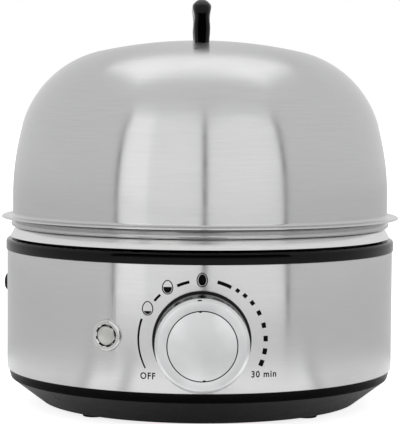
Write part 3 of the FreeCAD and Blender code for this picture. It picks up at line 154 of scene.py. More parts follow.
class RackSizes(bpy.types.PropertyGroup):
    """Sizes of the egg rack."""

    plate_gap: length("Plate drop", 0.8, "How far the plate hangs below the hem")
    foot_gap: length("Lift gap", 0.3, "Gap between the rack and the dish's rim")
    band_height: length("Band height", 3.9, "Height of the outer band")
    bead_height: length("Bead height", 2.5, "Height of the bead that centres the lid")
    band_inset: length("Band inset", 1.7, "How far the band stands in from the sleeve")
    egg_radius: length("Egg hole", 17.5, "Radius of an egg hole")
    egg_circle: length("Egg circle", 54.0, "Distance of the outer egg holes from the axis")
    steam_radius: length("Steam hole", 3.0, "Radius of a steam hole")
    steam_circle: length("Steam circle", 72.0, "Distance of the steam holes from the axis")


class LidSizes(bpy.types.PropertyGroup):
    """Sizes of the domed lid and its handle."""

    tip_radius: length("Flange radius", reach("lid_dome", 0, 1), "Outside of the flange")
    apex: length("Apex", reach("lid_dome", 2, 1), "Height of the dome's top")
    flange_high: length("Flange top", reach("lid_dome", 2, 0) + 1.7, "Height of the flange")
    lip_bend: length("Lip bend", 0.75, "Bend radius of the flange's edge")
    flange_width: length("Flange width", 5.2, "Width of the flange")
    flange_bend: length("Flange bend", 1.5, "Bend radius between dome and flange")
    straight: length("Straight", 6.5, "Upright stretch at the foot of the dome")
    side_radius: length("Side radius", 131.2, "Radius of the dome's side")
    side_tilt: angle("Side tilt", 75.3, "Turn from the crown where the side starts")
    shoulder_radius: length("Shoulder radius", 48.4, "Radius of the dome's shoulder")
    crown_radius: length("Crown radius", 216.0, "Radius of the dome's crown")
    vent_radius: length("Vent", 1.5, "Radius of the steam vent")
    vent_tilt: angle("Vent tilt", 9.0, "Turn of the steam vent from the crown")
    handle_top: length("Handle top", reach("lid_handle", 2, 1) - 0.5, "Height of the handle")
    handle_reach: length("Handle reach", reach("lid_handle", 1, 1), "Half of its length")
    handle_bar: length("Handle bar", 8.0, "Thickness of the handle's top bar")
    handle_foot: length("Handle foot", 12.0, "Length of a handle foot")
    handle_round: length("Handle round", 9.0, "Outer corner radius of the handle")
    handle_soft: length("Handle edge", 3.4, "Rounding of the handle's long edges")
    handle_top_width: length("Top width", 8.7, "Width of the handle's top")
    handle_waist: length("Waist width", 6.9, "Width of the handle's waist")
    handle_hip: length("Foot width", 7.6, "Width of the handle's feet")


class PanelSizes(bpy.types.PropertyGroup):
    """Sizes of the knob, the lamp and the printed dial."""

    knob_height: length("Knob height", 40.2, "Height of the knob's axis")
    bush_hole: length("Bush hole", 5.5, "Radius of the hole for the timer's bush")
    knob_rear: length("Knob rear", -reach("knob_body", 1, 1), "Distance of the knob's rear")
    knob_front: length("Knob front", -reach("knob_cap", 1, 0), "Distance of the knob's face")
    knob_skirt: length("Knob skirt", 21.0, "Radius of the knob's skirt")
    knob_radius: length("Knob radius", 19.7, "Radius of the knob's face")
    cap_depth: length("Cap depth", 3.0, "Depth of the knob's metal cap")
    cap_bevel: length("Cap bevel", 1.3, "Bevel of the knob's metal cap")
    groove_radius: length("Groove", 14.6, "Radius of the fine groove")
    mark_turn: angle("Mark turn", 3.5, "Turn of the knob's marks at rest")
    lamp_turn: angle("Lamp turn", 26.6, "Turn of the lamp from the knob")
    lamp_height: length("Lamp height", 40.7, "Height of the lamp")
    bezel_radius: length("Bezel radius", 6.85, "Outside of the lamp's bezel")
    bezel_rise: length("Bezel rise", 1.3, "How far the bezel stands out")
    lamp_barrel: length("Bezel barrel", 5.0, "Radius of the bezel's barrel")
    lens_radius: length("Lens radius", 4.0, "Radius of the lamp's lens")
    lens_crown: length("Lens crown", 1.1, "Height of the lens's rounded front")
    dial_radius: length("Dial radius", 26.4, "Radius of the dial's print")
    dial_height: length("Dial height", 40.0, "Height of the dial's middle")
    letter_height: length("Letters", 2.6, "Height of the dial's letters")
    ink: length("Ink", 0.03, "Thickness of the print")


class FinishColours(bpy.types.PropertyGroup):
    """Colours of the finishes that show."""

    steel: colour("Brushed steel", (0.655, 0.655, 0.66), "Sleeve and lid")
    rack: colour("Rack steel", (0.56, 0.56, 0.56), "Egg rack")
    polished: colour("Polished steel", (0.87, 0.87, 0.865), "Water dish")
    black: colour("Gloss black", (0.0015, 0.0015, 0.0017), "Handle and trim ring")
    satin: colour("Satin black", (0.004, 0.004, 0.0045), "Base pan")
    knob: colour("Knob metal", (0.75, 0.755, 0.76), "Knob's face")
    ink: colour("Ink", (0.002, 0.002, 0.002), "Dial print")


class StageSizes(bpy.types.PropertyGroup):
    """Camera and light."""

    eye_distance: length("Eye distance", 859.5, "Distance of the camera from the axis")
    eye_height: length("Eye height", 141.8, "Height of the camera")
    eye_turn: angle("Eye turn", -0.7, "Turn of the camera round the object")
    eye_roll: angle("Eye roll", 0.385, "Roll of the camera")
    aim_height: length("Aim height", 88.8, "Height on the axis that the camera aims at")
    lens: FloatProperty(name="Lens", description="Focal length", default=155.6)
    world_level: level("Surroundings", 0.73, "Radiance of the studio around")
    panel_level: level("Softboxes", 1.0, "Radiance of the front softboxes")
    top_level: level("Overhead light", 0.56, "Radiance of the overhead softbox")
    panel_reach: length("Softbox reach", 750.0, "Distance of the front softboxes")
    panel_top: length("Softbox top", 700.0, "Height of the front softboxes")


GROUPS = {
    "egg_housing": HousingSizes,
    "egg_rack_sizes": RackSizes,
    "egg_lid": LidSizes,
    "egg_panel": PanelSizes,
    "egg_colours": FinishColours,
    "egg_stage": StageSizes,
}


# ---------------------------------------------------------------- shapes


def spin(bm, geom, axis, sweep, steps, centre=(0, 0, 0), merge=False):
    """Spins geometry round an axis, and gives back what that made."""
    return bmesh.ops.spin(
        bm,
        geom=geom,
        cent=centre,
        axis=axis,
        dvec=(0, 0, 0),
        angle=sweep,
        steps=steps,
        use_merge=merge,
        use_normal_flip=False,
        use_duplicate=False,
    )


def shift(bm, *offset):
    """Moves a shape, and gives it back."""
    bmesh.ops.translate(bm, vec=offset, verts=bm.verts[:])
    return bm


def carried(bm, matrix):
    """Carries a shape by a matrix, and gives it back."""
    bmesh.ops.transform(bm, matrix=matrix, verts=bm.verts[:])
    return bm


def block(*sizes):
    """A box round the origin."""
    bm = bmesh.new()
    bmesh.ops.create_cube(bm, size=1.0)
    bmesh.ops.scale(bm, vec=sizes, verts=bm.verts[:])
    return bm


def everything(bm):
    """All the vertices, edges and faces of a shape."""
    return bm.verts[:] + bm.edges[:] + bm.faces[:]


def draw_outline(bm, corners, arc_step=ARC_STEP):
    """Draws edges through (radius, height) corners.

    A corner that also has a bend radius and a way, 1 to the left and -1 to the right,
    starts an arc to the next corner.
    """
    tip = bm.verts.new((corners[0][0], 0, corners[0][1]))
    for here, there in zip(corners, corners[1:]):
        if len(here) == 2:
            tip = bmesh.ops.extrude_vert_indiv(bm, verts=[tip])["verts"][0]
            tip.co = (there[0], 0, there[1])
            continue
        start, end = Vector(here[:2]), Vector(there[:2])
        bend, way = here[2:]
        chord = end - start
        half = min(chord.length / 2, bend)
        left = Vector((-chord.y, chord.x)).normalized()
        centre = (start + end) / 2 + left * way * math.sqrt(bend * bend - half * half)
        sweep = 2 * math.asin(half / bend)
        steps = max(3, math.ceil(sweep / arc_step))
        made = spin(bm, [tip], (0, -way, 0), sweep, steps, (centre.x, 0, centre.y))
        tip = next(g for g in made["geom_last"] if isinstance(g, bmesh.types.BMVert))
    return tip


def soften_corners(bm, size, segments=3):
    """Rounds the corners of an outline."""
    corners = []
    for vert in bm.verts:
        if len(vert.link_edges) == 2:
            one, other = (edge.other_vert(vert).co - vert.co for edge in vert.link_edges)
            if math.pi - one.angle(other) > SHARP_ANGLE:
                corners.append(vert)
    bmesh.ops.bevel(
        bm,
        geom=corners,
        offset=size,
        affect="VERTICES",
        segments=segments,
        profile=0.5,
        material=-1,
        clamp_overlap=True,
    )


def turn_round(bm, sides):
    """Turns an outline round the Z axis and closes its seams and poles."""
    spin(bm, bm.verts[:] + bm.edges[:], (0, 0, 1), math.tau, sides, merge=True)
    bmesh.ops.remove_doubles(bm, verts=bm.verts[:], dist=WELD / 10)
    bmesh.ops.recalc_face_normals(bm, faces=bm.faces[:])


def turned_solid(corners, sides, soft=0.0):
    """A closed outline turned round the Z axis."""
    bm = bmesh.new()
    tip = draw_outline(bm, corners)
    bm.verts.ensure_lookup_table()
    first = bm.verts[0]
    if first.co.x > 1e-9 or tip.co.x > 1e-9:
        bm.edges.new((tip, first))
    if soft:
        soften_corners(bm, soft)
    turn_round(bm, sides)
    return bm


def turned_sheet(corners, sides, wall, arc_step=ARC_STEP):
    """An open outline turned round the Z axis, with the wall under its middle."""
    bm = bmesh.new()
    draw_outline(bm, corners, arc_step)
    bmesh.ops.remove_doubles(bm, verts=bm.verts[:], dist=WELD)
    turn_round(bm, sides)
    middle = min(bm.faces, key=lambda face: face.calc_center_median().xy.length)
    if middle.normal.z < 0:
        bmesh.ops.reverse_faces(bm, faces=bm.faces[:])
    bmesh.ops.solidify(bm, geom=bm.faces[:], thickness=wall)
    return bm


def rod(radius, low, high, sides=48, across=0.0, depth=0.0):
    """An upright round bar."""
    bm = bmesh.new()
    bmesh.ops.create_cone(
        bm,
        cap_ends=True,
        cap_tris=False,
        segments=sides,
        radius1=radius,
        radius2=radius,
        depth=high - low,
        matrix=Matrix.Translation((across, depth, (low + high) / 2)),
    )
    return bm


def on_circle(radius, turn):
    """A place on a circle, turned from +X."""
    return radius * math.cos(turn), radius * math.sin(turn)


def facing_out(turn, height):
    """Carries a piece made round the Z axis to the housing's side, turned left."""
    return (
        Matrix.Translation((0, 0, height))
        @ Matrix.Rotation(-turn, 4, "Z")
        @ Matrix.Rotation(math.radians(90), 4, "X")
    )


def merged(parts):
    """One mesh out of several."""
    whole = bmesh.new()
    for part in parts:
        mesh = bpy.data.meshes.new("part")
        part.to_mesh(mesh)
        part.free()
        whole.from_mesh(mesh)
        bpy.data.meshes.remove(mesh)
    return whole


def with_holes(bm, cutters):
    """The mesh with the cutters taken out of it."""
    made = []
    for name, source in (("blank", bm), ("cutter", merged(cutters))):
        mesh = bpy.data.meshes.new(name)
        source.to_mesh(mesh)
        source.free()
        made.append(bpy.data.objects.new(name, mesh))
        bpy.context.scene.collection.objects.link(made[-1])
    blank, cutter = made
    cut = blank.modifiers.new("holes", "BOOLEAN")
    cut.operation = "DIFFERENCE"
    cut.solver = "EXACT"
    cut.object = cutter
    bpy.context.view_layer.update()
    mesh = bpy.data.meshes.new_from_object(
        blank.evaluated_get(bpy.context.evaluated_depsgraph_get())
    )
    result = bmesh.new()
    result.from_mesh(mesh)
    for thing in made:
        spare = thing.data
        bpy.data.objects.remove(thing)
        bpy.data.meshes.remove(spare)
    bpy.data.meshes.remove(mesh)
    bmesh.ops.remove_doubles(result, verts=result.verts[:], dist=WELD / 10)
    return result


def finish_piece(name, bm, body, slot, stands_for=(), place=None, look=None):
    """Makes the mesh a named piece on its body, with its slot's finish or another."""
    if place is not None:
        carried(bm, place)
    if not bm.faces:
        raise RuntimeError(f"{name} has no faces")
    for face in bm.faces:
        face.smooth = True
    for edge in bm.edges:
        if len(edge.link_faces) == 2 and edge.calc_face_angle() > SHARP_ANGLE:
            edge.smooth = False
    mesh = bpy.data.meshes.new(name)
    bm.to_mesh(mesh)
    bm.free()
    mesh.materials.append(finish(look or slot))
    piece = bpy.data.objects.new(name, mesh)
    bpy.context.scene.collection.objects.link(piece)
    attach(piece, body)
    if stands_for:
        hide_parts(*stands_for)


# ---------------------------------------------------------------- shader groups


def new_group(name, inputs, outputs):
    """An empty shader group with named float inputs and typed outputs."""
    group = bpy.data.node_groups.new(name, "ShaderNodeTree")
    for socket, default in inputs:
        made = group.interface.new_socket(socket, in_out="INPUT", socket_type="NodeSocketFloat")
        made.default_value = default
    for socket, kind in outputs:
        group.interface.new_socket(socket, in_out="OUTPUT", socket_type=kind)
    return group, group.nodes.new("NodeGroupInput"), group.nodes.new("NodeGroupOutput")


def add(tree, kind, inputs=None, **settings):
    """Adds a node; inputs may be plain values or sockets to link from."""
    node = tree.nodes.new(kind)
    for key, value in settings.items():
        setattr(node, key, value)
    for key, value in (inputs or {}).items():
        if isinstance(value, bpy.types.NodeSocket):
            tree.links.new(value, node.inputs[key])
        else:
            node.inputs[key].default_value = value
    return node


def maths(tree, operation, *values):
    """A math node's result."""
    return add(tree, "ShaderNodeMath", dict(enumerate(values)), operation=operation).outputs[0]


def fit(tree, value, low, high, new_low, new_high):
    """A value carried from one range to another."""
    inputs = {0: value, 1: low, 2: high, 3: new_low, 4: new_high}
    return add(tree, "ShaderNodeMapRange", inputs).outputs[0]


def place_on(tree):
    """Where a point lies on the object."""
    return add(tree, "ShaderNodeTexCoord").outputs["Object"]


def parts_of(tree, vector):
    """A vector's three parts."""
    return add(tree, "ShaderNodeSeparateXYZ", {0: vector}).outputs


def noise(tree, place, scale, detail=2.0, roughness=0.5):
    """An even noise from 0 to 1."""
    inputs = {"Vector": place, "Scale": scale, "Detail": detail, "Roughness": roughness}
    return add(tree, "ShaderNodeTexNoise", inputs).outputs["Fac"]


def make_brushing_group():
    """Fine lines that run round the Z axis, as the brushing wheel leaves them."""
    group, given, out = new_group(
        "round brushing",
        (("Lines per metre", 2600.0), ("Breaks", 5.0)),
        (("Lines", "NodeSocketFloat"), ("Bands", "NodeSocketFloat")),
    )
    spot = parts_of(group, place_on(group))
    squares = [maths(group, "POWER", part, 2.0) for part in spot[:2]]
    radius = maths(group, "SQRT", maths(group, "ADD", *squares))
    safe = maths(group, "MAXIMUM", radius, 1e-5)
    fine, breaks = given.outputs[:2]
    sideways = [
        maths(group, "MULTIPLY", maths(group, "DIVIDE", part, safe), breaks) for part in spot[:2]
    ]
    for output, share, detail in (("Lines", 1.0, 2.0), ("Bands", 0.06, 1.0)):
        across = maths(group, "MULTIPLY", fine, share)
        rise = maths(group, "MULTIPLY", spot[2], across)
        wound = add(group, "ShaderNodeCombineXYZ", {0: sideways[0], 1: sideways[1], 2: rise})
        inputs = {
            "Vector": wound.outputs[0],
            "W": maths(group, "MULTIPLY", radius, across),
            "Scale": 1.0,
            "Detail": detail,
        }
        lines = add(group, "ShaderNodeTexNoise", inputs, noise_dimensions="4D")
        group.links.new(lines.outputs["Fac"], out.inputs[output])
    return group


def make_marks_group():
    """Faint finger marks: broad soft patches, and thin wiping streaks in them."""
    group, given, out = new_group(
        "finger marks",
        (("Patches per metre", 26.0), ("Streaks", 0.2)),
        (("Marks", "NodeSocketFloat"),),
    )
    place = place_on(group)
    patch = noise(group, place, given.outputs[0])
    stretched = add(
        group,
        "ShaderNodeMapping",
        {"Vector": place, "Rotation": (0.3, 0.7, 0.4), "Scale": (40.0, 420.0, 420.0)},
    )
    streak = noise(group, stretched.outputs[0], 1.0)
    patches = fit(group, patch, 0.42, 0.66, 0.0, 1.0)
    shaded = maths(group, "MULTIPLY", maths(group, "MULTIPLY", streak, given.outputs[1]), patches)
    total = add(group, "ShaderNodeMath", {0: patches, 1: shaded}, operation="ADD", use_clamp=True)
    group.links.new(total.outputs[0], out.inputs["Marks"])
    return group


def make_grain_group():
    """The fine texture of a moulded or cast skin."""
    group, given, out = new_group(
        "moulded skin",
        (("Grains per metre", 1800.0), ("Waviness", 0.3)),
        (("Height", "NodeSocketFloat"), ("Flecks", "NodeSocketFloat")),
    )
    place = place_on(group)
    grain = noise(group, place, given.outputs[0], 4.0, 0.6)
    wave = noise(group, place, 90.0)
    total = maths(group, "ADD", grain, maths(group, "MULTIPLY", wave, given.outputs[1]))
    group.links.new(total, out.inputs["Height"])
    group.links.new(fit(group, grain, 0.35, 0.7, 0.0, 1.0), out.inputs["Flecks"])
    return group


def make_wear_group():
    """Edges rubbed brighter by handling, broken up by a noise."""
    group, given, out = new_group(
        "rubbed edges", (("Amount", 0.5),), (("Wear", "NodeSocketFloat"),)
    )
    edge = add(group, "ShaderNodeNewGeometry").outputs["Pointiness"]
    broken = noise(group, place_on(group), 320.0, 5.0)
    rubbed = maths(group, "MULTIPLY", fit(group, edge, 0.52, 0.62, 0.0, 1.0), broken)
    total = maths(group, "MULTIPLY", rubbed, given.outputs[0])
    group.links.new(total, out.inputs["Wear"])
    return group


def make_dust_group():
    """Sparse specks of dust that lie on upward faces."""
    group, given, out = new_group(
        "settled dust", (("Amount", 0.4),), (("Dust", "NodeSocketFloat"),)
    )
    specks = noise(group, place_on(group), 900.0)
    upward = parts_of(group, add(group, "ShaderNodeNewGeometry").outputs["Normal"])[2]
    lying = fit(group, upward, 0.2, 1.0, 0.15, 1.0)
    total = maths(group, "MULTIPLY", fit(group, specks, 0.6, 0.75, 0.0, 1.0), lying)
    group.links.new(maths(group, "MULTIPLY", total, given.outputs[0]), out.inputs["Dust"])
    return group


EFFECTS = {
    "round brushing": make_brushing_group,
    "finger marks": make_marks_group,
    "moulded skin": make_grain_group,
    "rubbed edges": make_wear_group,
    "settled dust": make_dust_group,
}


# ---------------------------------------------------------------- finishes


def start_finish(name, **sockets):
    """A material with its shader's own constants set."""
    material = bpy.data.materials.new(name)
    material.use_nodes = True
    tree = material.node_tree
    shader = tree.nodes["Principled BSDF"]
    for socket, value in sockets.items():
        shader.inputs[socket.replace("_", " ")].default_value = value
    return material, tree, shader


def effect(tree, name, **values):
    """Places a shared effect in a material, with its own values."""
    node = tree.nodes.new("ShaderNodeGroup")
    node.node_tree = bpy.data.node_groups[name]
    for socket, value in values.items():
        node.inputs[socket.replace("_", " ")].default_value = value
    return node.outputs


def blend_colours(tree, factor, one, other):
    """A colour between two, by a mask. The first may be a socket."""
    mix = add(tree, "ShaderNodeMix", data_type="RGBA")
    tree.links.new(factor, mix.inputs["Factor"])
    if isinstance(one, bpy.types.NodeSocket):
        tree.links.new(one, mix.inputs["A"])
    else:
        mix.inputs["A"].default_value = (*one, 1.0)
    mix.inputs["B"].default_value = (*other, 1.0)
    return mix.outputs["Result"]


def shade(rgb, factor):
    """A colour made lighter or darker."""
    return tuple(min(1.0, part * factor) for part in rgb)


def bump(tree, shader, height, distance):
    """Feeds a height to the shader's normal."""
    node = add(tree, "ShaderNodeBump", {"Height": height, "Distance": distance, "Strength": 1.0})
    tree.links.new(node.outputs[0], shader.inputs["Normal"])


def round_tangent(tree, shader):
    """Points the shader's tangent round the Z axis."""
    spot = parts_of(tree, place_on(tree))
    backwards = maths(tree, "MULTIPLY", spot[1], -1.0)
    along = add(tree, "ShaderNodeCombineXYZ", {0: backwards, 1: spot[0]})
    turned = add(
        tree,
        "ShaderNodeVectorTransform",
        {0: along.outputs[0]},
        vector_type="VECTOR",
        convert_from="OBJECT",
        convert_to="WORLD",
    )
    tree.links.new(turned.outputs[0], shader.inputs["Tangent"])


def brushed_metal(name, rgb, rough, stretch, lines=2600.0, depth=0.000004, marks=0.03):
    """Steel brushed round the Z axis."""
    material, tree, shader = start_finish(
        name, Metallic=1.0, Anisotropic=stretch, Anisotropic_Rotation=0.25
    )
    brushing = effect(tree, "round brushing", Lines_per_metre=lines)
    worn = effect(tree, "rubbed edges", Amount=0.6)["Wear"]
    touched = effect(tree, "finger marks")["Marks"]
    streaks = blend_colours(tree, brushing["Lines"], shade(rgb, 0.94), shade(rgb, 1.06))
    tone = blend_colours(tree, worn, streaks, shade(rgb, 1.2))
    tree.links.new(tone, shader.inputs["Base Color"])
    lined = fit(tree, brushing["Bands"], 0.3, 0.7, rough * 0.92, rough * 1.08)
    total = maths(tree, "ADD", lined, maths(tree, "MULTIPLY", touched, marks))
    tree.links.new(total, shader.inputs["Roughness"])
    bump(tree, shader, brushing["Lines"], depth)
    round_tangent(tree, shader)
    return material


def satin_metal(name, rgb, rough, grains=2200.0, depth=0.000003, wear=0.6):
    """Plain metal with a fine even skin."""
    material, tree, shader = start_finish(name, Metallic=1.0)
    skin = effect(tree, "moulded skin", Grains_per_metre=grains)
    worn = effect(tree, "rubbed edges", Amount=wear)["Wear"]
    touched = effect(tree, "finger marks", Patches_per_metre=60.0)["Marks"]
    tone = blend_colours(tree, maths(tree, "MAXIMUM", worn, touched), rgb, shade(rgb, 1.12))
    tree.links.new(tone, shader.inputs["Base Color"])
    grain = fit(tree, skin["Flecks"], 0.0, 1.0, rough * 0.85, rough * 1.15)
    tree.links.new(grain, shader.inputs["Roughness"])
    bump(tree, shader, skin["Height"], depth)
    return material


def moulding(
    name, rgb, rough, specular=0.5, depth=0.00001, dust=0.25, wear=0.5, gloss_below=None
):
    """Moulded plastic or rubber, with its skin, rubbed edges, finger marks and dust.

    A height in gloss_below leaves what stands above it without its coat.
    """
    material, tree, shader = start_finish(name, Specular_IOR_Level=specular)
    skin = effect(tree, "moulded skin")
    worn = effect(tree, "rubbed edges", Amount=wear)["Wear"]
    dusty = effect(tree, "settled dust", Amount=dust)["Dust"]
    touched = effect(tree, "finger marks", Patches_per_metre=45.0)["Marks"]
    lit = tuple(part * 0.7 + 0.12 for part in rgb)
    tone = blend_colours(tree, maths(tree, "MAXIMUM", worn, dusty), rgb, lit)
    tree.links.new(tone, shader.inputs["Base Color"])
    smooth = fit(tree, skin["Flecks"], 0.0, 1.0, rough * 0.9, rough * 1.1)
    total = maths(tree, "ADD", smooth, maths(tree, "MULTIPLY", touched, rough * 0.35))
    tree.links.new(total, shader.inputs["Roughness"])
    bump(tree, shader, skin["Height"], depth)
    if gloss_below is not None:
        height = parts_of(tree, place_on(tree))[2]
        coat = fit(tree, height, gloss_below, gloss_below + 0.2 * MM, 1.0, 0.0)
        tree.links.new(coat, shader.inputs["Coat Weight"])
        shader.inputs["Coat Roughness"].default_value = rough
    return material


def clear_glass(name, rgb, rough, flecks):
    """Clear plastic or glass with a faint haze."""
    material, tree, shader = start_finish(name, Transmission_Weight=1.0, IOR=1.49)
    skin = effect(tree, "moulded skin", Grains_per_metre=flecks)
    tone = blend_colours(tree, skin["Flecks"], rgb, shade(rgb, 0.93))
    tree.links.new(tone, shader.inputs["Base Color"])
    haze = fit(tree, skin["Flecks"], 0.0, 1.0, rough * 0.7, rough * 1.3)
    tree.links.new(haze, shader.inputs["Roughness"])
    return material


def woven(name, rgb):
    """Braided glass fibre."""
    material, tree, shader = start_finish(name, Roughness=0.85)
    inputs = {"Vector": place_on(tree), "Scale": 260.0, "Distortion": 0.5}
    strands = [
        add(tree, "ShaderNodeTexWave", inputs, bands_direction=way).outputs["Fac"]
        for way in ("X", "DIAGONAL")
    ]
    braid = maths(tree, "MULTIPLY", *strands)
    tree.links.new(blend_colours(tree, braid, shade(rgb, 0.7), rgb), shader.inputs["Base Color"])
    bump(tree, shader, braid, 0.0002)
    return material


def make_finishes(colours, pan_seam):
    """Every finish, by the slot that it belongs to."""
    finishes = {
        "brushed_steel": brushed_metal("brushed steel", colours.steel, 0.2, 0.93),
        "rack_steel": brushed_metal("rack steel", colours.rack, 0.16, 0.7, lines=1800.0),
        "polished_steel": brushed_metal(
            "polished steel", colours.polished, 0.13, 0.3, depth=0.000001
        ),
        "gloss_black": moulding(
            "gloss black", colours.black, 0.09, 0.22, depth=0.000001, dust=0.05, wear=0.2
        ),
        "satin_black": moulding("satin black", colours.satin, 0.24, 0.4, depth=0.000006, dust=0.1),
        "pan_black": moulding(
            "pan black", colours.satin, 0.24, 0.05, depth=0.000006, dust=0.1, gloss_below=pan_seam
        ),
        "knob_black": moulding("knob black", colours.black, 0.16, 0.17, depth=0.000002, dust=0.05),
        "knob_metal": satin_metal(
            "knob metal", colours.knob, 0.34, grains=3200.0, depth=0.000001, wear=0.2
        ),
        "rubber_feet": moulding("rubber", (0.02, 0.02, 0.02), 0.75, 0.3, depth=0.00003, dust=0.6),
        "bezel_chrome": satin_metal("bezel chrome", (0.7, 0.7, 0.69), 0.12, wear=0.3),
        "lens_clear": clear_glass("lens plastic", (0.93, 0.93, 0.91), 0.12, 1500.0),
        "neon_glass": clear_glass("neon glass", (0.92, 0.8, 0.72), 0.05, 900.0),
        "plated_steel": satin_metal("zinc plate", (0.6, 0.6, 0.585), 0.3),
        "spreader_aluminium": satin_metal(
            "mill aluminium", (0.72, 0.72, 0.71), 0.42, grains=1200.0
        ),
        "element_sheath": satin_metal(
            "heated sheath", (0.3, 0.27, 0.25), 0.5, grains=900.0, depth=0.00001
        ),
        "brass": satin_metal("brass", (0.72, 0.53, 0.25), 0.28),
        "bell_steel": satin_metal("bell plate", (0.78, 0.78, 0.76), 0.14),
        "dark_moulding": moulding("dark phenolic", (0.05, 0.03, 0.022), 0.35),
        "white_moulding": moulding("white nylon", (0.74, 0.73, 0.68), 0.45),
        "fuse_metal": satin_metal("fuse can", (0.66, 0.65, 0.62), 0.35),
        "woven_sleeve": woven("glass sleeve", (0.78, 0.75, 0.68)),
        "brown_insulation": moulding("brown insulation", (0.16, 0.07, 0.035), 0.4),
        "blue_insulation": moulding("blue insulation", (0.03, 0.11, 0.36), 0.4),
        "green_insulation": moulding("green insulation", (0.2, 0.38, 0.05), 0.4),
        "white_insulation": moulding("silicone insulation", (0.76, 0.75, 0.7), 0.5),
        "lamp_screen": satin_metal("lamp screen", (0.86, 0.86, 0.85), 0.5, wear=0.0),
        "ink": moulding("dial ink", colours.ink, 0.6, 0.08, depth=0.000002, dust=0.0, wear=0.0),
    }
    for slot, material in finishes.items():
        material["finish_slot"] = slot


def finish(slot):
    """The material made for a slot."""
    for material in bpy.data.materials:
        if material.get("finish_slot") == slot:
            return material
    raise RuntimeError(f"no finish was made for {slot}")


# ---------------------------------------------------------------- operators


class MakerOperator:
    """What every operator of the add-on shares."""

    bl_options = {"REGISTER", "UNDO"}

    def execute(self, context):
        self.make(context.scene)
        return {"FINISHED"}


class EGG_OT_finishes(MakerOperator, bpy.types.Operator):
    """Make the shader groups and finishes, and give each carried part its own"""

    bl_idname = "egg.make_finishes"
    bl_label = "Finishes"

    def make(self, scene):
        for build in EFFECTS.values():
            build()
        housing = scene.egg_housing
        make_finishes(scene.egg_colours, housing.pan_low + housing.cone_height)
        for row in frame["record"]["subparts"]:
            piece = frame["nodes"][row["node"]]
            material = finish(row["material_slot"])
            if not piece.material_slots:
                piece.data.materials.append(material)
            for slot in piece.material_slots:
                slot.material = material


class EGG_OT_sleeve(MakerOperator, bpy.types.Operator):
    """Make the brushed sleeve with its holes for knob, lamp and gland"""

    bl_idname = "egg.make_sleeve"
    bl_label = "Sleeve"

    def make(self, scene):
        size, panel = scene.egg_housing, scene.egg_panel
        outer, inner = size.shell_radius, size.shell_radius - size.sheet
        outline = [
            (inner, size.shell_low),
            (outer, size.shell_low),
            (outer, size.shell_high),
            (inner, size.shell_high),
        ]
        sleeve = turned_solid(outline, size.sides, 0.2 * MM)
        cutters = []
        for radius, turn, height in (
            (panel.bush_hole, 0.0, panel.knob_height),
            (panel.lamp_barrel + size.fit_gap, panel.lamp_turn, panel.lamp_height),
            (size.gland_hole, size.gland_turn, size.gland_height),
        ):
            drill = rod(radius, inner - DRILL_REACH, outer + DRILL_REACH)
            cutters.append(carried(drill, facing_out(turn, height)))
        sleeve = with_holes(sleeve, cutters)
        finish_piece("sleeve", sleeve, "root", "brushed_steel", ["outer_shell"])


class EGG_OT_ring(MakerOperator, bpy.types.Operator):
    """Make the gloss black ring between the sleeve and the dish"""

    bl_idname = "egg.make_ring"
    bl_label = "Trim ring"

    def make(self, scene):
        size = scene.egg_housing
        outer, low = size.ring_radius, size.shell_high
        high, collar = low + size.ring_height, size.rim_high - size.sheet
        inner = size.shell_radius - size.dish_inset + size.sheet + size.fit_gap
        spigot = size.shell_radius - size.sheet - size.fit_gap
        foot, lip = low - size.spigot_height, 1.1 * MM
        outline = [
            (inner, low),
            (spigot - size.spigot_wall, low),
            (spigot - size.spigot_wall, foot),
            (spigot, foot),
            (spigot, low),
            (outer, low),
            (outer, high - size.ring_round, size.ring_round, 1),
            (outer - size.ring_round, high),
            (inner + lip, high),
            (inner + lip, collar),
            (inner + 0.7 * MM, collar),
            (inner, collar - 0.8 * MM),
        ]
        ring = turned_solid(outline, size.sides, 0.25 * MM)
        finish_piece("ring_trim", ring, "root", "gloss_black", ["trim_ring"])


class EGG_OT_dish(MakerOperator, bpy.types.Operator):
    """Make the polished water dish with its folded skirt"""

    bl_idname = "egg.make_dish"
    bl_label = "Water dish"

    def make(self, scene):
        size = scene.egg_housing
        wall, rim, floor = size.shell_radius - size.dish_inset, size.rim_high, 10 * MM
        bottom, bend, flare = rim - size.dish_depth, 1.2 * MM, size.skirt_flare
        inner_bend = 1.5 * MM
        turn_in = wall + 2.1 * MM
        out, down = bend * math.sin(flare), bend * (1 - math.cos(flare))
        run = (size.skirt_height - down) / math.tan(flare)
        outline = [
            (0, bottom),
            (wall - floor, bottom, floor, 1),
            (wall, bottom + floor),
            (wall, rim - inner_bend, inner_bend, -1),
            (wall + inner_bend, rim),
            (turn_in, rim, bend, -1),
            (turn_in + out, rim - down),
            (turn_in + out + run, rim - size.skirt_height),
        ]
        dish = turned_sheet(outline, size.sides, size.sheet)
        finish_piece("dish", dish, "root", "polished_steel", ["heating_dish"])


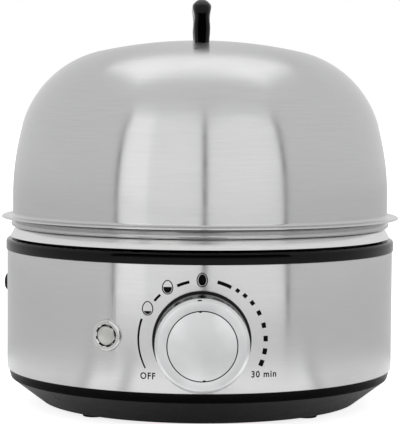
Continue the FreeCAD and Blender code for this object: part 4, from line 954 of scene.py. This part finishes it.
class EGG_OT_pan(MakerOperator, bpy.types.Operator):
    """Make the moulded base pan with its vents and screw wells"""

    bl_idname = "egg.make_pan"
    bl_label = "Base pan"

    def make(self, scene):
        size = scene.egg_housing
        low, wall = size.pan_low, size.pan_wall
        band_top = size.shell_radius - size.pan_ledge
        cone_top = band_top - size.band_draft
        cone_foot = cone_top - size.cone_inset
        spigot = size.shell_radius - size.sheet - size.fit_gap
        inside, top = spigot - size.spigot_wall, size.shell_low + size.spigot_height
        slope = size.cone_height / size.cone_inset
        lean = wall / math.sin(math.atan(slope))
        rise = (inside - cone_foot + lean) * slope
        outline = [
            (0, low),
            (cone_foot, low),
            (cone_top, low + size.cone_height),
            (band_top, size.shell_low),
            (spigot, size.shell_low),
            (spigot, top),
            (inside, top),
            (inside, low + rise),
            (cone_foot + wall / slope - lean, low + wall),
            (0, low + wall),
        ]
        pan = turned_solid(outline, size.sides, 0.5 * MM)
        cutters = []
        for turn in (90, 210, 330):
            place = on_circle(size.post_circle, math.radians(turn))
            cutters.append(rod(size.well_radius, low - 1 * MM, low + 2.1 * MM, 32, *place))
        for across in (-14, -7, 0, 7, 14):
            vent = block(3 * MM, 18 * MM, 12 * MM)
            cutters.append(shift(vent, across * MM, 31 * MM, low))
        pan = with_holes(pan, cutters)
        finish_piece("pan", pan, "root", "satin_black", ["base_pan"], look="pan_black")
        feet = []
        sole, wide, top = size.foot_radius - size.foot_draft, size.foot_radius, low + 0.02 * MM
        outline = [(0, 0), (sole, 0), (wide, top), (0, top)]
        for turn in (-44, 224, 44, 136):
            foot = turned_solid(outline, 48, 0.3 * MM)
            feet.append(shift(foot, *on_circle(size.foot_circle, math.radians(turn)), 0))
        finish_piece("feet", merged(feet), "root", "rubber_feet", ["base_feet"])


class EGG_OT_rack(MakerOperator, bpy.types.Operator):
    """Make the egg rack with its egg holes and steam holes"""

    bl_idname = "egg.make_rack"
    bl_label = "Egg rack"

    def make(self, scene):
        size, house, lid = scene.egg_rack_sizes, scene.egg_housing, scene.egg_lid
        gap, sheet = size.foot_gap, house.sheet
        foot = house.rim_high + gap
        top, plate = foot + size.band_height, foot - size.plate_gap
        wall = house.shell_radius - house.dish_inset - 2 * gap - sheet
        band = house.shell_radius - size.band_inset
        bead_out = lid.tip_radius - lid.flange_width - sheet - 4 * gap
        bead_top = top + size.bead_height
        outline = [
            (0, plate),
            (wall - 2 * MM, plate, 2 * MM, 1),
            (wall, plate + 2 * MM),
            (wall, bead_top - 1 * MM, 1 * MM, -1),
            (wall + 1 * MM, bead_top),
            (bead_out - 1 * MM, bead_top, 1 * MM, -1),
            (bead_out, bead_top - 1 * MM),
            (bead_out, top + 0.6 * MM, 0.6 * MM, 1),
            (bead_out + 0.6 * MM, top),
            (band - 1.9 * MM, top, 0.8 * MM, -1),
            (band - 1.3 * MM, top - 0.4 * MM),
            (band - 0.1 * MM, foot + 1.5 * MM, 1.3 * MM, -1),
            (band - 1.2 * MM, foot),
            (wall + sheet + 1 * MM, foot),
        ]
        rack = turned_sheet(outline, house.sides, sheet)
        low, high = plate - 5 * MM, plate + 1.5 * MM
        cutters = [rod(size.egg_radius, low, high, 96)]
        rims = [self.hole_rim(size.egg_radius, plate, 0.0, 0.0)]
        for index in range(6):
            turn = math.radians(60 * index + 30)
            place = on_circle(size.egg_circle, turn)
            cutters.append(rod(size.egg_radius, low, high, 96, *place))
            rims.append(self.hole_rim(size.egg_radius, plate, *place))
            place = on_circle(size.steam_circle, turn + math.radians(30))
            cutters.append(rod(size.steam_radius, low, high, 32, *place))
        rack = merged([with_holes(rack, cutters), *rims])
        finish_piece("rack", rack, "rack", "rack_steel", ["egg_rack"])

    def hole_rim(self, radius, plate, across, depth):
        """The smooth bead pressed round an egg hole."""
        bead = 0.55 * MM
        rim = turned_solid(
            [
                (radius + bead, plate - bead, bead, 1),
                (radius + 2 * bead, plate),
                (radius + 2 * bead, plate, bead, 1),
                (radius, plate),
                (radius, plate, bead, 1),
                (radius + bead, plate - bead),
            ],
            96,
        )
        return shift(rim, across, depth, 0)


class EGG_OT_dome(MakerOperator, bpy.types.Operator):
    """Make the drawn dome with its flange, lip and steam vent"""

    bl_idname = "egg.make_dome"
    bl_label = "Lid dome"

    def make(self, scene):
        size, house = scene.egg_lid, scene.egg_housing
        tip, bend = size.tip_radius, size.flange_bend
        foot = tip - size.flange_width
        flange = size.flange_high
        side = flange + bend + size.straight
        side_lean = math.sin(size.side_tilt)
        crown_tilt = math.asin(
            (foot - size.shoulder_radius * side_lean - size.side_radius * (1 - side_lean))
            / (size.crown_radius - size.shoulder_radius)
        )
        shoulder_r = foot - size.side_radius * (1 - side_lean)
        shoulder_z = side + size.side_radius * math.cos(size.side_tilt)
        crown_r = size.crown_radius * math.sin(crown_tilt)
        crown_z = size.apex - size.crown_radius * (1 - math.cos(crown_tilt))
        outline = [
            (0, size.apex, size.crown_radius, -1),
            (crown_r, crown_z, size.shoulder_radius, -1),
            (shoulder_r, shoulder_z, size.side_radius, -1),
            (foot, side),
            (foot, flange + bend, bend, 1),
            (foot + bend, flange),
            (tip - size.lip_bend, flange, size.lip_bend, -1),
            (tip, flange - size.lip_bend),
        ]
        dome = turned_sheet(outline, house.sides, house.sheet, math.radians(1.2))
        crown = size.crown_radius
        drill = rod(size.vent_radius, crown - 4 * MM, crown + 4 * MM, 32)
        centre = Matrix.Translation((0, 0, size.apex - crown))
        tilt = centre @ Matrix.Rotation(-size.vent_tilt, 4, "X")
        dome = with_holes(dome, [carried(drill, tilt)])
        finish_piece("dome", dome, "lid", "brushed_steel", ["lid_dome"])


class EGG_OT_handle(MakerOperator, bpy.types.Operator):
    """Make the moulded loop handle on the lid"""

    bl_idname = "egg.make_handle"
    bl_label = "Lid handle"

    def make(self, scene):
        size = scene.egg_lid
        top, half, outer = size.handle_top, size.handle_reach, size.handle_round
        inner, gap = outer - 3 * MM, half - size.handle_foot
        crown = size.apex - size.crown_radius
        base = size.apex - 4 * MM
        bar = top - size.handle_bar
        if size.handle_soft > size.handle_bar / 2:
            raise RuntimeError("the handle's edges are rounder than its bar")
        bm = bmesh.new()
        for reach_out, high, bend in ((half, top, outer), (gap, bar, inner)):
            stops = [(reach_out, base + (high - bend - base) * step / 10) for step in range(10)]
            stops.append((reach_out, high - bend, bend, 1))
            stops.extend(((reach_out - bend) * (1 - step / 6), high) for step in range(7))
            draw_outline(bm, stops, math.radians(9))
        bmesh.ops.bridge_loops(bm, edges=bm.edges[:])
        bmesh.ops.mirror(bm, geom=everything(bm), axis="X", merge_dist=WELD)
        bmesh.ops.remove_doubles(bm, verts=bm.verts[:], dist=WELD)
        quarter = Matrix.Rotation(math.radians(90), 3, "Z")
        bmesh.ops.rotate(bm, cent=(0, 0, 0), matrix=quarter, verts=bm.verts[:])
        width = size.handle_top_width / 2
        shift(bm, -width, 0, 0)
        grown = bmesh.ops.extrude_face_region(bm, geom=bm.faces[:])
        moved = [g for g in grown["geom"] if isinstance(g, bmesh.types.BMVert)]
        bmesh.ops.translate(bm, vec=(2 * width, 0, 0), verts=moved)
        bmesh.ops.recalc_face_normals(bm, faces=bm.faces[:])
        edges = [edge for edge in bm.edges if edge.calc_face_angle(0) > math.radians(60)]
        edges = [edge for edge in edges if max(v.co.z for v in edge.verts) > base + 0.1 * MM]
        bmesh.ops.bevel(
            bm,
            geom=edges,
            offset=size.handle_soft,
            offset_type="OFFSET",
            affect="EDGES",
            segments=6,
            profile=0.5,
            material=-1,
            clamp_overlap=False,
        )
        rise = top - size.apex
        for vert in bm.verts:
            vert.co.x *= self.width_at((top - vert.co.z) / rise, size) / size.handle_top_width
        for vert in bm.verts:
            if vert.co.z < base + 0.1 * MM:
                across = vert.co.x ** 2 + vert.co.y ** 2
                vert.co.z = crown + math.sqrt(size.crown_radius ** 2 - across) - 0.05 * MM
        bmesh.ops.remove_doubles(bm, verts=bm.verts[:], dist=WELD)
        finish_piece("handle", bm, "lid", "gloss_black", ["lid_handle"])

    def width_at(self, depth, size):
        """The handle's width at a share of its height below its top."""
        stops = (
            (0.0, 0.8 * size.handle_top_width),
            (0.16, size.handle_top_width),
            (0.45, size.handle_waist),
            (0.72, size.handle_hip),
            (1.1, size.handle_waist),
            (1.4, size.handle_waist),
        )
        for (low, narrow), (high, wide) in zip(stops, stops[1:]):
            if depth <= high:
                share = max(0.0, (depth - low) / (high - low))
                smooth = share * share * (3 - 2 * share)
                return narrow + (wide - narrow) * smooth
        return stops[-1][1]


class EGG_OT_knob(MakerOperator, bpy.types.Operator):
    """Make the timer knob, its metal cap and its marks"""

    bl_idname = "egg.make_knob"
    bl_label = "Timer knob"

    def make(self, scene):
        size = scene.egg_panel
        rear, radius, skirt = size.knob_rear, size.knob_radius, size.knob_skirt
        groove, face = size.groove_radius, size.knob_front - 0.05 * MM
        front = face - size.cap_depth
        place = facing_out(0.0, size.knob_height)
        bore, hub, wall = 3 * MM, 6 * MM, 2 * MM
        outline = [
            (skirt - wall, rear),
            (skirt, rear),
            (skirt, rear + 1.2 * MM, 1.6 * MM, 1),
            (skirt - 1.1 * MM, rear + 2.5 * MM),
            (radius, front),
            (bore, front),
            (bore, front - 3 * MM),
            (bore, rear + wall),
            (hub, rear + wall),
            (hub, front - wall),
            (radius - wall, front - wall),
        ]
        body = turned_solid(outline, 160, 0.2 * MM)
        finish_piece("knob", body, "knob", "knob_black", ["knob_body"], place)
        slant = 0.8 * size.cap_bevel
        half, floor, slack = 0.2 * MM, face - 0.3 * MM, 0.01 * MM
        outline = [
            (0, front),
            (radius, front),
            (radius, face - slant),
            (radius - size.cap_bevel, face),
            (groove + half, face),
            (groove + half, floor),
            (groove - half, floor),
            (groove - half, face),
            (0, face),
        ]
        cap = turned_solid(outline, 160, 0.12 * MM)
        finish_piece("cap", cap, "knob", "knob_metal", ["knob_cap"], place)
        ring = [
            (groove - half + slack, floor + slack),
            (groove + half - slack, floor + slack),
            (groove + half - slack, face - 0.06 * MM),
            (groove - half + slack, face - 0.06 * MM),
        ]
        marks = [turned_solid(ring, 160)]
        lean = Matrix.Rotation(-math.atan2(slant, size.cap_bevel), 4, "X")
        for turn, away, wide, tall, lift in (
            (0.0, groove - 0.35 * MM, 1.1, 0.5, -0.02),
            (math.pi, groove - 0.35 * MM, 1.1, 0.5, -0.02),
            (0.0, radius - size.cap_bevel / 2, 1.7, 0.6, -0.5 * slant / MM - 0.02),
        ):
            tick = block(wide * MM, tall * MM, 0.12 * MM)
            if away > groove:
                carried(tick, lean)
            shift(tick, 0, away, face + lift * MM)
            marks.append(carried(tick, Matrix.Rotation(turn + size.mark_turn, 4, "Z")))
        finish_piece("knob_marks", merged(marks), "knob", "knob_black", place=place, look="ink")


class EGG_OT_lamp(MakerOperator, bpy.types.Operator):
    """Make the panel lamp's bezel, its facets with a painted dark reflection, and its lens"""

    bl_idname = "egg.make_lamp"
    bl_label = "Panel lamp"

    def make(self, scene):
        size = scene.egg_panel
        seat = scene.egg_housing.shell_radius
        place = facing_out(size.lamp_turn, size.lamp_height)
        radius, rise = size.bezel_radius, size.bezel_rise
        lens, crown = size.lens_radius, size.lens_crown
        front, foot, rear, edge = seat + rise, seat - 0.3 * MM, seat - 12 * MM, 0.9 * MM
        outline = [
            (lens + 0.1 * MM, rear),
            (size.lamp_barrel, rear),
            (size.lamp_barrel, foot),
            (radius, foot),
            (radius, front - edge, edge, 1),
            (radius - edge, front),
            (lens + 1.0 * MM, front),
            (lens + 0.1 * MM, front - 0.6 * MM),
        ]
        bezel = turned_solid(outline, 96, 0.12 * MM)
        finish_piece("bezel", bezel, "root", "bezel_chrome", ["indicator_bezel"], place)
        # The facets are real cuts round the clear lens; their ink black is a painted dark
        # reflection, standing in for how clear facets look.
        facets = []
        for index in range(8):
            wide = (1.75 + 0.45 * math.sin(2.4 * index)) * MM
            facet = block(wide, 0.7 * MM, 0.4 * MM)
            shift(facet, 0, lens + 0.5 * MM, front - 0.15 * MM)
            facets.append(carried(facet, Matrix.Rotation(math.radians(45 * index + 14), 4, "Z")))
        facets = merged(facets)
        finish_piece("lamp_facets", facets, "root", "bezel_chrome", place=place, look="ink")
        ball = (lens * lens + crown * crown) / (2 * crown)
        back = seat + 0.4 * MM
        outline = [
            (0, back),
            (lens, back),
            (lens, front + 0.2 * MM, ball, 1),
            (0, front + 0.2 * MM + crown),
        ]
        glass = turned_solid(outline, 64)
        screen = rod(lens - 0.1 * MM, back - 0.8 * MM, back - 0.1 * MM, 64)
        finish_piece(
            "lamp_screen", screen, "root", "white_moulding", place=place, look="lamp_screen"
        )
        finish_piece("lens", glass, "root", "lens_clear", ["indicator_lens"], place)


class EGG_OT_dial(MakerOperator, bpy.types.Operator):
    """Print the dial: the running line, the egg signs, the dashes and the words"""

    bl_idname = "egg.make_dial"
    bl_label = "Dial print"

    def make(self, scene):
        size = scene.egg_panel
        line = size.dial_radius
        shapes = [self.strip(line + 0.5 * MM, -117.5, -71.3, 0.6 * MM, 0.9 * MM)]
        for turn, away, filled in ((-60.2, 0.1, 0.31), (-33.1, 0.3, 0.52), (0.1, -0.75, 1.0)):
            shapes.extend(self.egg_sign(line + away * MM, turn, filled))
        for start, end, away, thick in (
            (-50.8, -42.8, -0.4, 1.05),
            (-24.6, -12.2, -1.1, 1.25),
            (14.8, 28.9, -0.8, 1.5),
        ):
            shapes.append(self.strip(line + away * MM, start, end, thick * MM, thick * MM))
        for index in range(8):
            share = index / 7
            sway = 2.6 * math.sin(math.pi * share) + 1.6 * math.sin(math.tau * share)
            middle = 35.6 + 75.8 * share - sway
            away = line + (1.5 * math.sin(share * math.pi / 2) - 0.5) * MM
            across = math.degrees((0.85 + 0.5 * share) * MM / away)
            thick = (1.6 + 0.35 * share) * MM
            shapes.append(self.strip(away, middle - across, middle + across, thick, thick))
        for words, across, up, squeeze in (
            ("OFF", -22.8, -15.8, 0.86),
            ("30 min", 26.6, -14.9, 0.88),
        ):
            shapes.append(self.words(size, words, across * MM, up * MM, squeeze))
        flat = merged(shapes)
        self.wrap(flat, size, scene.egg_housing.shell_radius)
        finish_piece("dial_print", flat, "root", "satin_black", look="ink")

    def strip(self, radius, start, end, thick_start, thick_end):
        """A flat band along a circle, from one turn to another."""
        bm = bmesh.new()
        steps = max(2, math.ceil(abs(end - start) / 4))
        low = bm.verts.new((0, radius - thick_start / 2, 0))
        high = bm.verts.new((0, radius + thick_start / 2, 0))
        edge = bm.edges.new((low, high))
        carried(bm, Matrix.Rotation(math.radians(-start), 4, "Z"))
        spin(bm, [low, high, edge], (0, 0, -1), math.radians(end - start), steps)
        for vert in bm.verts:
            here = math.degrees(math.atan2(vert.co.x, vert.co.y))
            share = (here - start) / (end - start)
            grown = 1 + (thick_end / thick_start - 1) * share
            away = vert.co.xy.length
            vert.co.xy *= (radius + (away - radius) * grown) / away
        return bm

    def egg_shape(self, tall, wide):
        """A flat egg, pointed end up."""
        bm = bmesh.new()
        bmesh.ops.create_circle(bm, cap_ends=True, segments=40, radius=1.0)
        for vert in bm.verts:
            up = vert.co.y
            vert.co.x *= wide / 2 * (1 - 0.09 * up)
            vert.co.y = up * tall / 2
        return bm

    def egg_sign(self, radius, turn, filled):
        """An egg's outline, and its filling up to a level."""
        tall, wide, line = 6.2 * MM, 4.8 * MM, 0.42 * MM
        outline = self.egg_shape(tall, wide)
        inner = bmesh.ops.inset_region(
            outline, faces=outline.faces[:], thickness=line, use_even_offset=True, use_boundary=True
        )
        kept = set(inner["faces"])
        spare = [face for face in outline.faces if face not in kept]
        bmesh.ops.delete(outline, geom=spare, context="FACES")
        space = 0.28 * MM if filled == 1.0 else 0.22 * MM
        inside = self.egg_shape(tall - 2 * (line + space), wide - 2 * (line + space))
        if filled < 1.0:
            cut = bmesh.ops.bisect_plane(
                inside,
                geom=everything(inside),
                plane_co=(0, (filled - 0.5) * tall, 0),
                plane_no=(0, 1, 0),
                clear_outer=True,
            )
            if not cut["geom"]:
                raise RuntimeError("the egg's filling was lost")
        place = on_circle(radius, math.radians(90 - turn))
        return [shift(shape, *place, 0) for shape in (outline, inside)]

    def words(self, size, words, across, up, squeeze):
        """Flat letters, made a mesh."""
        curve = bpy.data.curves.new("words", "FONT")
        curve.body = words
        curve.align_x = "CENTER"
        curve.align_y = "CENTER"
        curve.size = size.letter_height / 0.66
        curve.offset = 0.03 * size.letter_height
        curve.space_character = 1.16
        curve.resolution_u = 3
        holder = bpy.data.objects.new("words", curve)
        bpy.context.scene.collection.objects.link(holder)
        bpy.context.view_layer.update()
        mesh = bpy.data.meshes.new_from_object(
            holder.evaluated_get(bpy.context.evaluated_depsgraph_get())
        )
        bpy.data.objects.remove(holder)
        bpy.data.curves.remove(curve)
        bm = bmesh.new()
        bm.from_mesh(mesh)
        bpy.data.meshes.remove(mesh)
        bmesh.ops.remove_doubles(bm, verts=bm.verts[:], dist=WELD)
        bmesh.ops.scale(bm, vec=(squeeze, 1, 1), verts=bm.verts[:])
        return shift(bm, across, up, 0)

    def wrap(self, bm, size, radius):
        """Gives the print its thickness and lays it round the sleeve."""
        bound = size.dial_radius + 8 * MM
        steps = 56
        for index in range(1, steps):
            across = -bound + 2 * bound * index / steps
            bmesh.ops.bisect_plane(
                bm,
                geom=everything(bm),
                plane_co=(across, 0, 0),
                plane_no=(1, 0, 0),
            )
        for face in bm.faces:
            if face.normal.z < 0:
                face.normal_flip()
        bmesh.ops.solidify(bm, geom=bm.faces[:], thickness=size.ink)
        for vert in bm.verts:
            across, up, lift = vert.co
            away = radius + size.ink * 1.6 + lift
            vert.co = (across, -math.sqrt(away * away - across * across), up + size.dial_height)


class EGG_OT_stage(MakerOperator, bpy.types.Operator):
    """Set the pale floor, the soft lights, the surroundings and the camera"""

    bl_idname = "egg.make_stage"
    bl_label = "Stage"

    def make(self, scene):
        size = scene.egg_stage
        scene.view_settings.view_transform = "Standard"
        scene.view_settings.look = "None"
        self.floor()
        self.surroundings(scene, size)
        self.lights(size)
        self.dark_card(size)
        self.camera(scene, size)

    def floor(self):
        """A wide pale floor, evenly pale where it is seen straight on. For reflected rays only it
        glows in a ring round the object's foot, stronger in front and dimmer at the sides, with
        darker wedges at four turns: a painted reflection that lays bright and dark stripes on the
        metal.
        """
        bm = bmesh.new()
        bmesh.ops.create_circle(bm, cap_ends=True, segments=96, radius=9.0)
        mesh = bpy.data.meshes.new("floor")
        bm.to_mesh(mesh)
        bm.free()
        floor = bpy.data.objects.new("floor", mesh)
        bpy.context.scene.collection.objects.link(floor)
        material, tree, shader = start_finish("pale floor", Roughness=0.7, Specular_IOR_Level=0.1)
        place = place_on(tree)
        cloud = noise(tree, place, 3.0)
        tone = blend_colours(tree, cloud, (0.71, 0.71, 0.71), (0.73, 0.73, 0.73))
        tree.links.new(tone, shader.inputs["Base Color"])
        # Painted reflection: a glow seen only in reflections, in a ring near the object's foot,
        # brighter in front than at the sides.
        ray = add(tree, "ShaderNodeLightPath").outputs
        spot = parts_of(tree, place)
        turn = maths(tree, "ARCTAN2", spot[0], maths(tree, "MULTIPLY", spot[1], -1.0))
        away = add(tree, "ShaderNodeVectorMath", {0: place}, operation="LENGTH").outputs["Value"]
        begins = fit(tree, away, 0.112, 0.124, 0.0, 1.0)
        ends = fit(tree, away, 0.16, 0.18, 1.0, 0.05)
        reflection_glow_ring = maths(tree, "MULTIPLY", begins, ends)
        side = maths(tree, "ABSOLUTE", turn)
        front = fit(tree, side, math.radians(46), math.radians(50), 0.72, 0.42)
        lit = maths(tree, "MULTIPLY", front, reflection_glow_ring)
        # Painted dark stripes: darker wedges in the reflected glow at four turns.
        for middle in (-48.5, -30.0, 2.0, 48.5):
            off = maths(tree, "ABSOLUTE", maths(tree, "SUBTRACT", turn, math.radians(middle)))
            lit = maths(tree, "MULTIPLY", lit, fit(tree, off, 0.02, 0.07, 0.25, 1.0))
        painted_reflection_glow = maths(tree, "MULTIPLY", ray["Is Glossy Ray"], lit)
        seen = maths(tree, "MULTIPLY", ray["Is Camera Ray"], 0.82)
        tree.links.new(maths(tree, "ADD", seen, painted_reflection_glow), shader.inputs["Emission Strength"])
        shader.inputs["Emission Color"].default_value = (1, 1, 1, 1)
        mesh.materials.append(material)

    def surroundings(self, scene, size):
        """Even studio light from all round, on a white background."""
        world = bpy.data.worlds.new("studio")
        world.use_nodes = True
        tree = world.node_tree
        tree.nodes.clear()
        seen = add(tree, "ShaderNodeLightPath").outputs["Is Camera Ray"]
        strength = fit(tree, seen, 0.0, 1.0, size.world_level, 1.0)
        back = add(tree, "ShaderNodeBackground", {"Strength": strength})
        back.inputs["Color"].default_value = (1, 1, 1, 1)
        out = add(tree, "ShaderNodeOutputWorld")
        tree.links.new(back.outputs[0], out.inputs[0])
        scene.world = world

    def lights(self, size):
        """Upright softboxes in front, and one overhead."""
        away, tall = size.panel_reach, size.panel_top
        for name, start, end, share in (
            ("softbox_far_left", -47.5, -30.0, 1.14),
            ("softbox_left", -30.0, 0.8, 0.99),
            ("softbox_right", 3.2, 47.5, 1.0),
        ):
            turn = math.radians((start + end) / 2)
            wide = 2 * away * math.tan(math.radians((end - start) / 2))
            spot = Vector((away * math.sin(turn), -away * math.cos(turn), tall / 2))
            aim, strength = Vector((0, 0, spot.z)), size.panel_level * share
            self.keep_off_black(self.softbox(name, spot, aim, wide, tall, strength))
        spot, aim = Vector((0, 0.46, 1.39)), Vector((0, 0.05, 0))
        self.softbox("softbox_top", spot, aim, 1.3, 0.9, size.top_level)

    def dark_card(self, size):
        """A curved black card behind the front softboxes, seen only in reflections."""
        away = size.panel_reach + 60 * MM
        bm = bmesh.new()
        draw_outline(bm, [(away, 0.0), (away, size.panel_top)])
        carried(bm, Matrix.Rotation(math.radians(-139.7), 4, "Z"))
        spin(bm, bm.verts[:] + bm.edges[:], (0, 0, 1), math.radians(99.4), 48)
        mesh = bpy.data.meshes.new("dark_card")
        bm.to_mesh(mesh)
        bm.free()
        card = bpy.data.objects.new("dark_card", mesh)
        bpy.context.scene.collection.objects.link(card)
        card.visible_camera = False
        card.visible_shadow = False
        material, tree, shader = start_finish(
            "black cloth", Roughness=0.9, Specular_IOR_Level=0.05
        )
        weave = noise(tree, place_on(tree), 60.0)
        tone = blend_colours(tree, weave, (0.01, 0.01, 0.01), (0.03, 0.03, 0.03))
        tree.links.new(tone, shader.inputs["Base Color"])
        mesh.materials.append(material)

    def keep_off_black(self, lamp):
        """Keeps a front softbox out of the black ring and pan."""
        if "lit by front" not in bpy.data.collections:
            shown = bpy.data.collections.new("lit by front")
            for name in ("ring_trim", "pan", "handle"):
                shown.objects.link(bpy.data.objects[name])
            for row in shown.collection_objects:
                row.light_linking.link_state = "EXCLUDE"
        lamp.light_linking.receiver_collection = bpy.data.collections["lit by front"]

    def softbox(self, name, spot, aim, wide, tall, strength):
        """A rectangle of even light that the camera doesn't see."""
        lamp = bpy.data.lights.new(name, "AREA")
        lamp.shape = "RECTANGLE"
        lamp.size = wide
        lamp.size_y = tall
        lamp.energy = strength * math.pi * wide * tall
        thing = bpy.data.objects.new(name, lamp)
        thing.location = spot
        thing.rotation_euler = (aim - spot).to_track_quat("-Z", "Y").to_euler()
        thing.visible_camera = False
        bpy.context.scene.collection.objects.link(thing)
        return thing

    def camera(self, scene, size):
        """The camera, a little above the lid's rim."""
        eye = bpy.data.cameras.new("camera")
        eye.lens = size.lens
        eye.sensor_width = 36.0
        eye.clip_start = 0.01
        eye.clip_end = 50.0
        camera = bpy.data.objects.new("camera", eye)
        turn = size.eye_turn
        spot = Vector((math.sin(turn), -math.cos(turn), 0)) * size.eye_distance
        spot.z = size.eye_height
        look = Vector((0, 0, size.aim_height)) - spot
        facing = look.to_track_quat("-Z", "Y").to_matrix() @ Matrix.Rotation(size.eye_roll, 3, "Z")
        camera.location = spot
        camera.rotation_euler = facing.to_euler()
        scene.collection.objects.link(camera)
        scene.camera = camera


STEPS = (
    EGG_OT_finishes,
    EGG_OT_sleeve,
    EGG_OT_ring,
    EGG_OT_dish,
    EGG_OT_pan,
    EGG_OT_rack,
    EGG_OT_dome,
    EGG_OT_handle,
    EGG_OT_knob,
    EGG_OT_lamp,
    EGG_OT_dial,
    EGG_OT_stage,
)


class EGG_PT_panel(bpy.types.Panel):
    """Lists the steps that make the egg cooker's look"""

    bl_idname = "EGG_PT_panel"
    bl_label = "Egg Cooker"
    bl_space_type = "VIEW_3D"
    bl_region_type = "UI"
    bl_category = "Egg Cooker"

    def draw(self, context):
        for step in STEPS:
            self.layout.operator(step.bl_idname)
        for name in GROUPS:
            box = self.layout.box()
            sizes = getattr(context.scene, name)
            for key in sizes.bl_rna.properties.keys():
                if key not in {"rna_type", "name"}:
                    box.prop(sizes, key)


def register():
    for name, group in GROUPS.items():
        bpy.utils.register_class(group)
        setattr(bpy.types.Scene, name, PointerProperty(type=group))
    for step in (*STEPS, EGG_PT_panel):
        bpy.utils.register_class(step)


def unregister():
    for step in reversed((*STEPS, EGG_PT_panel)):
        bpy.utils.unregister_class(step)
    for name, group in reversed(GROUPS.items()):
        delattr(bpy.types.Scene, name)
        bpy.utils.unregister_class(group)


def main():
    """Makes every piece in order."""
    register()
    for step in STEPS:
        module, name = step.bl_idname.split(".")
        getattr(getattr(bpy.ops, module), name)()


if __name__ == "__main__":
    main()
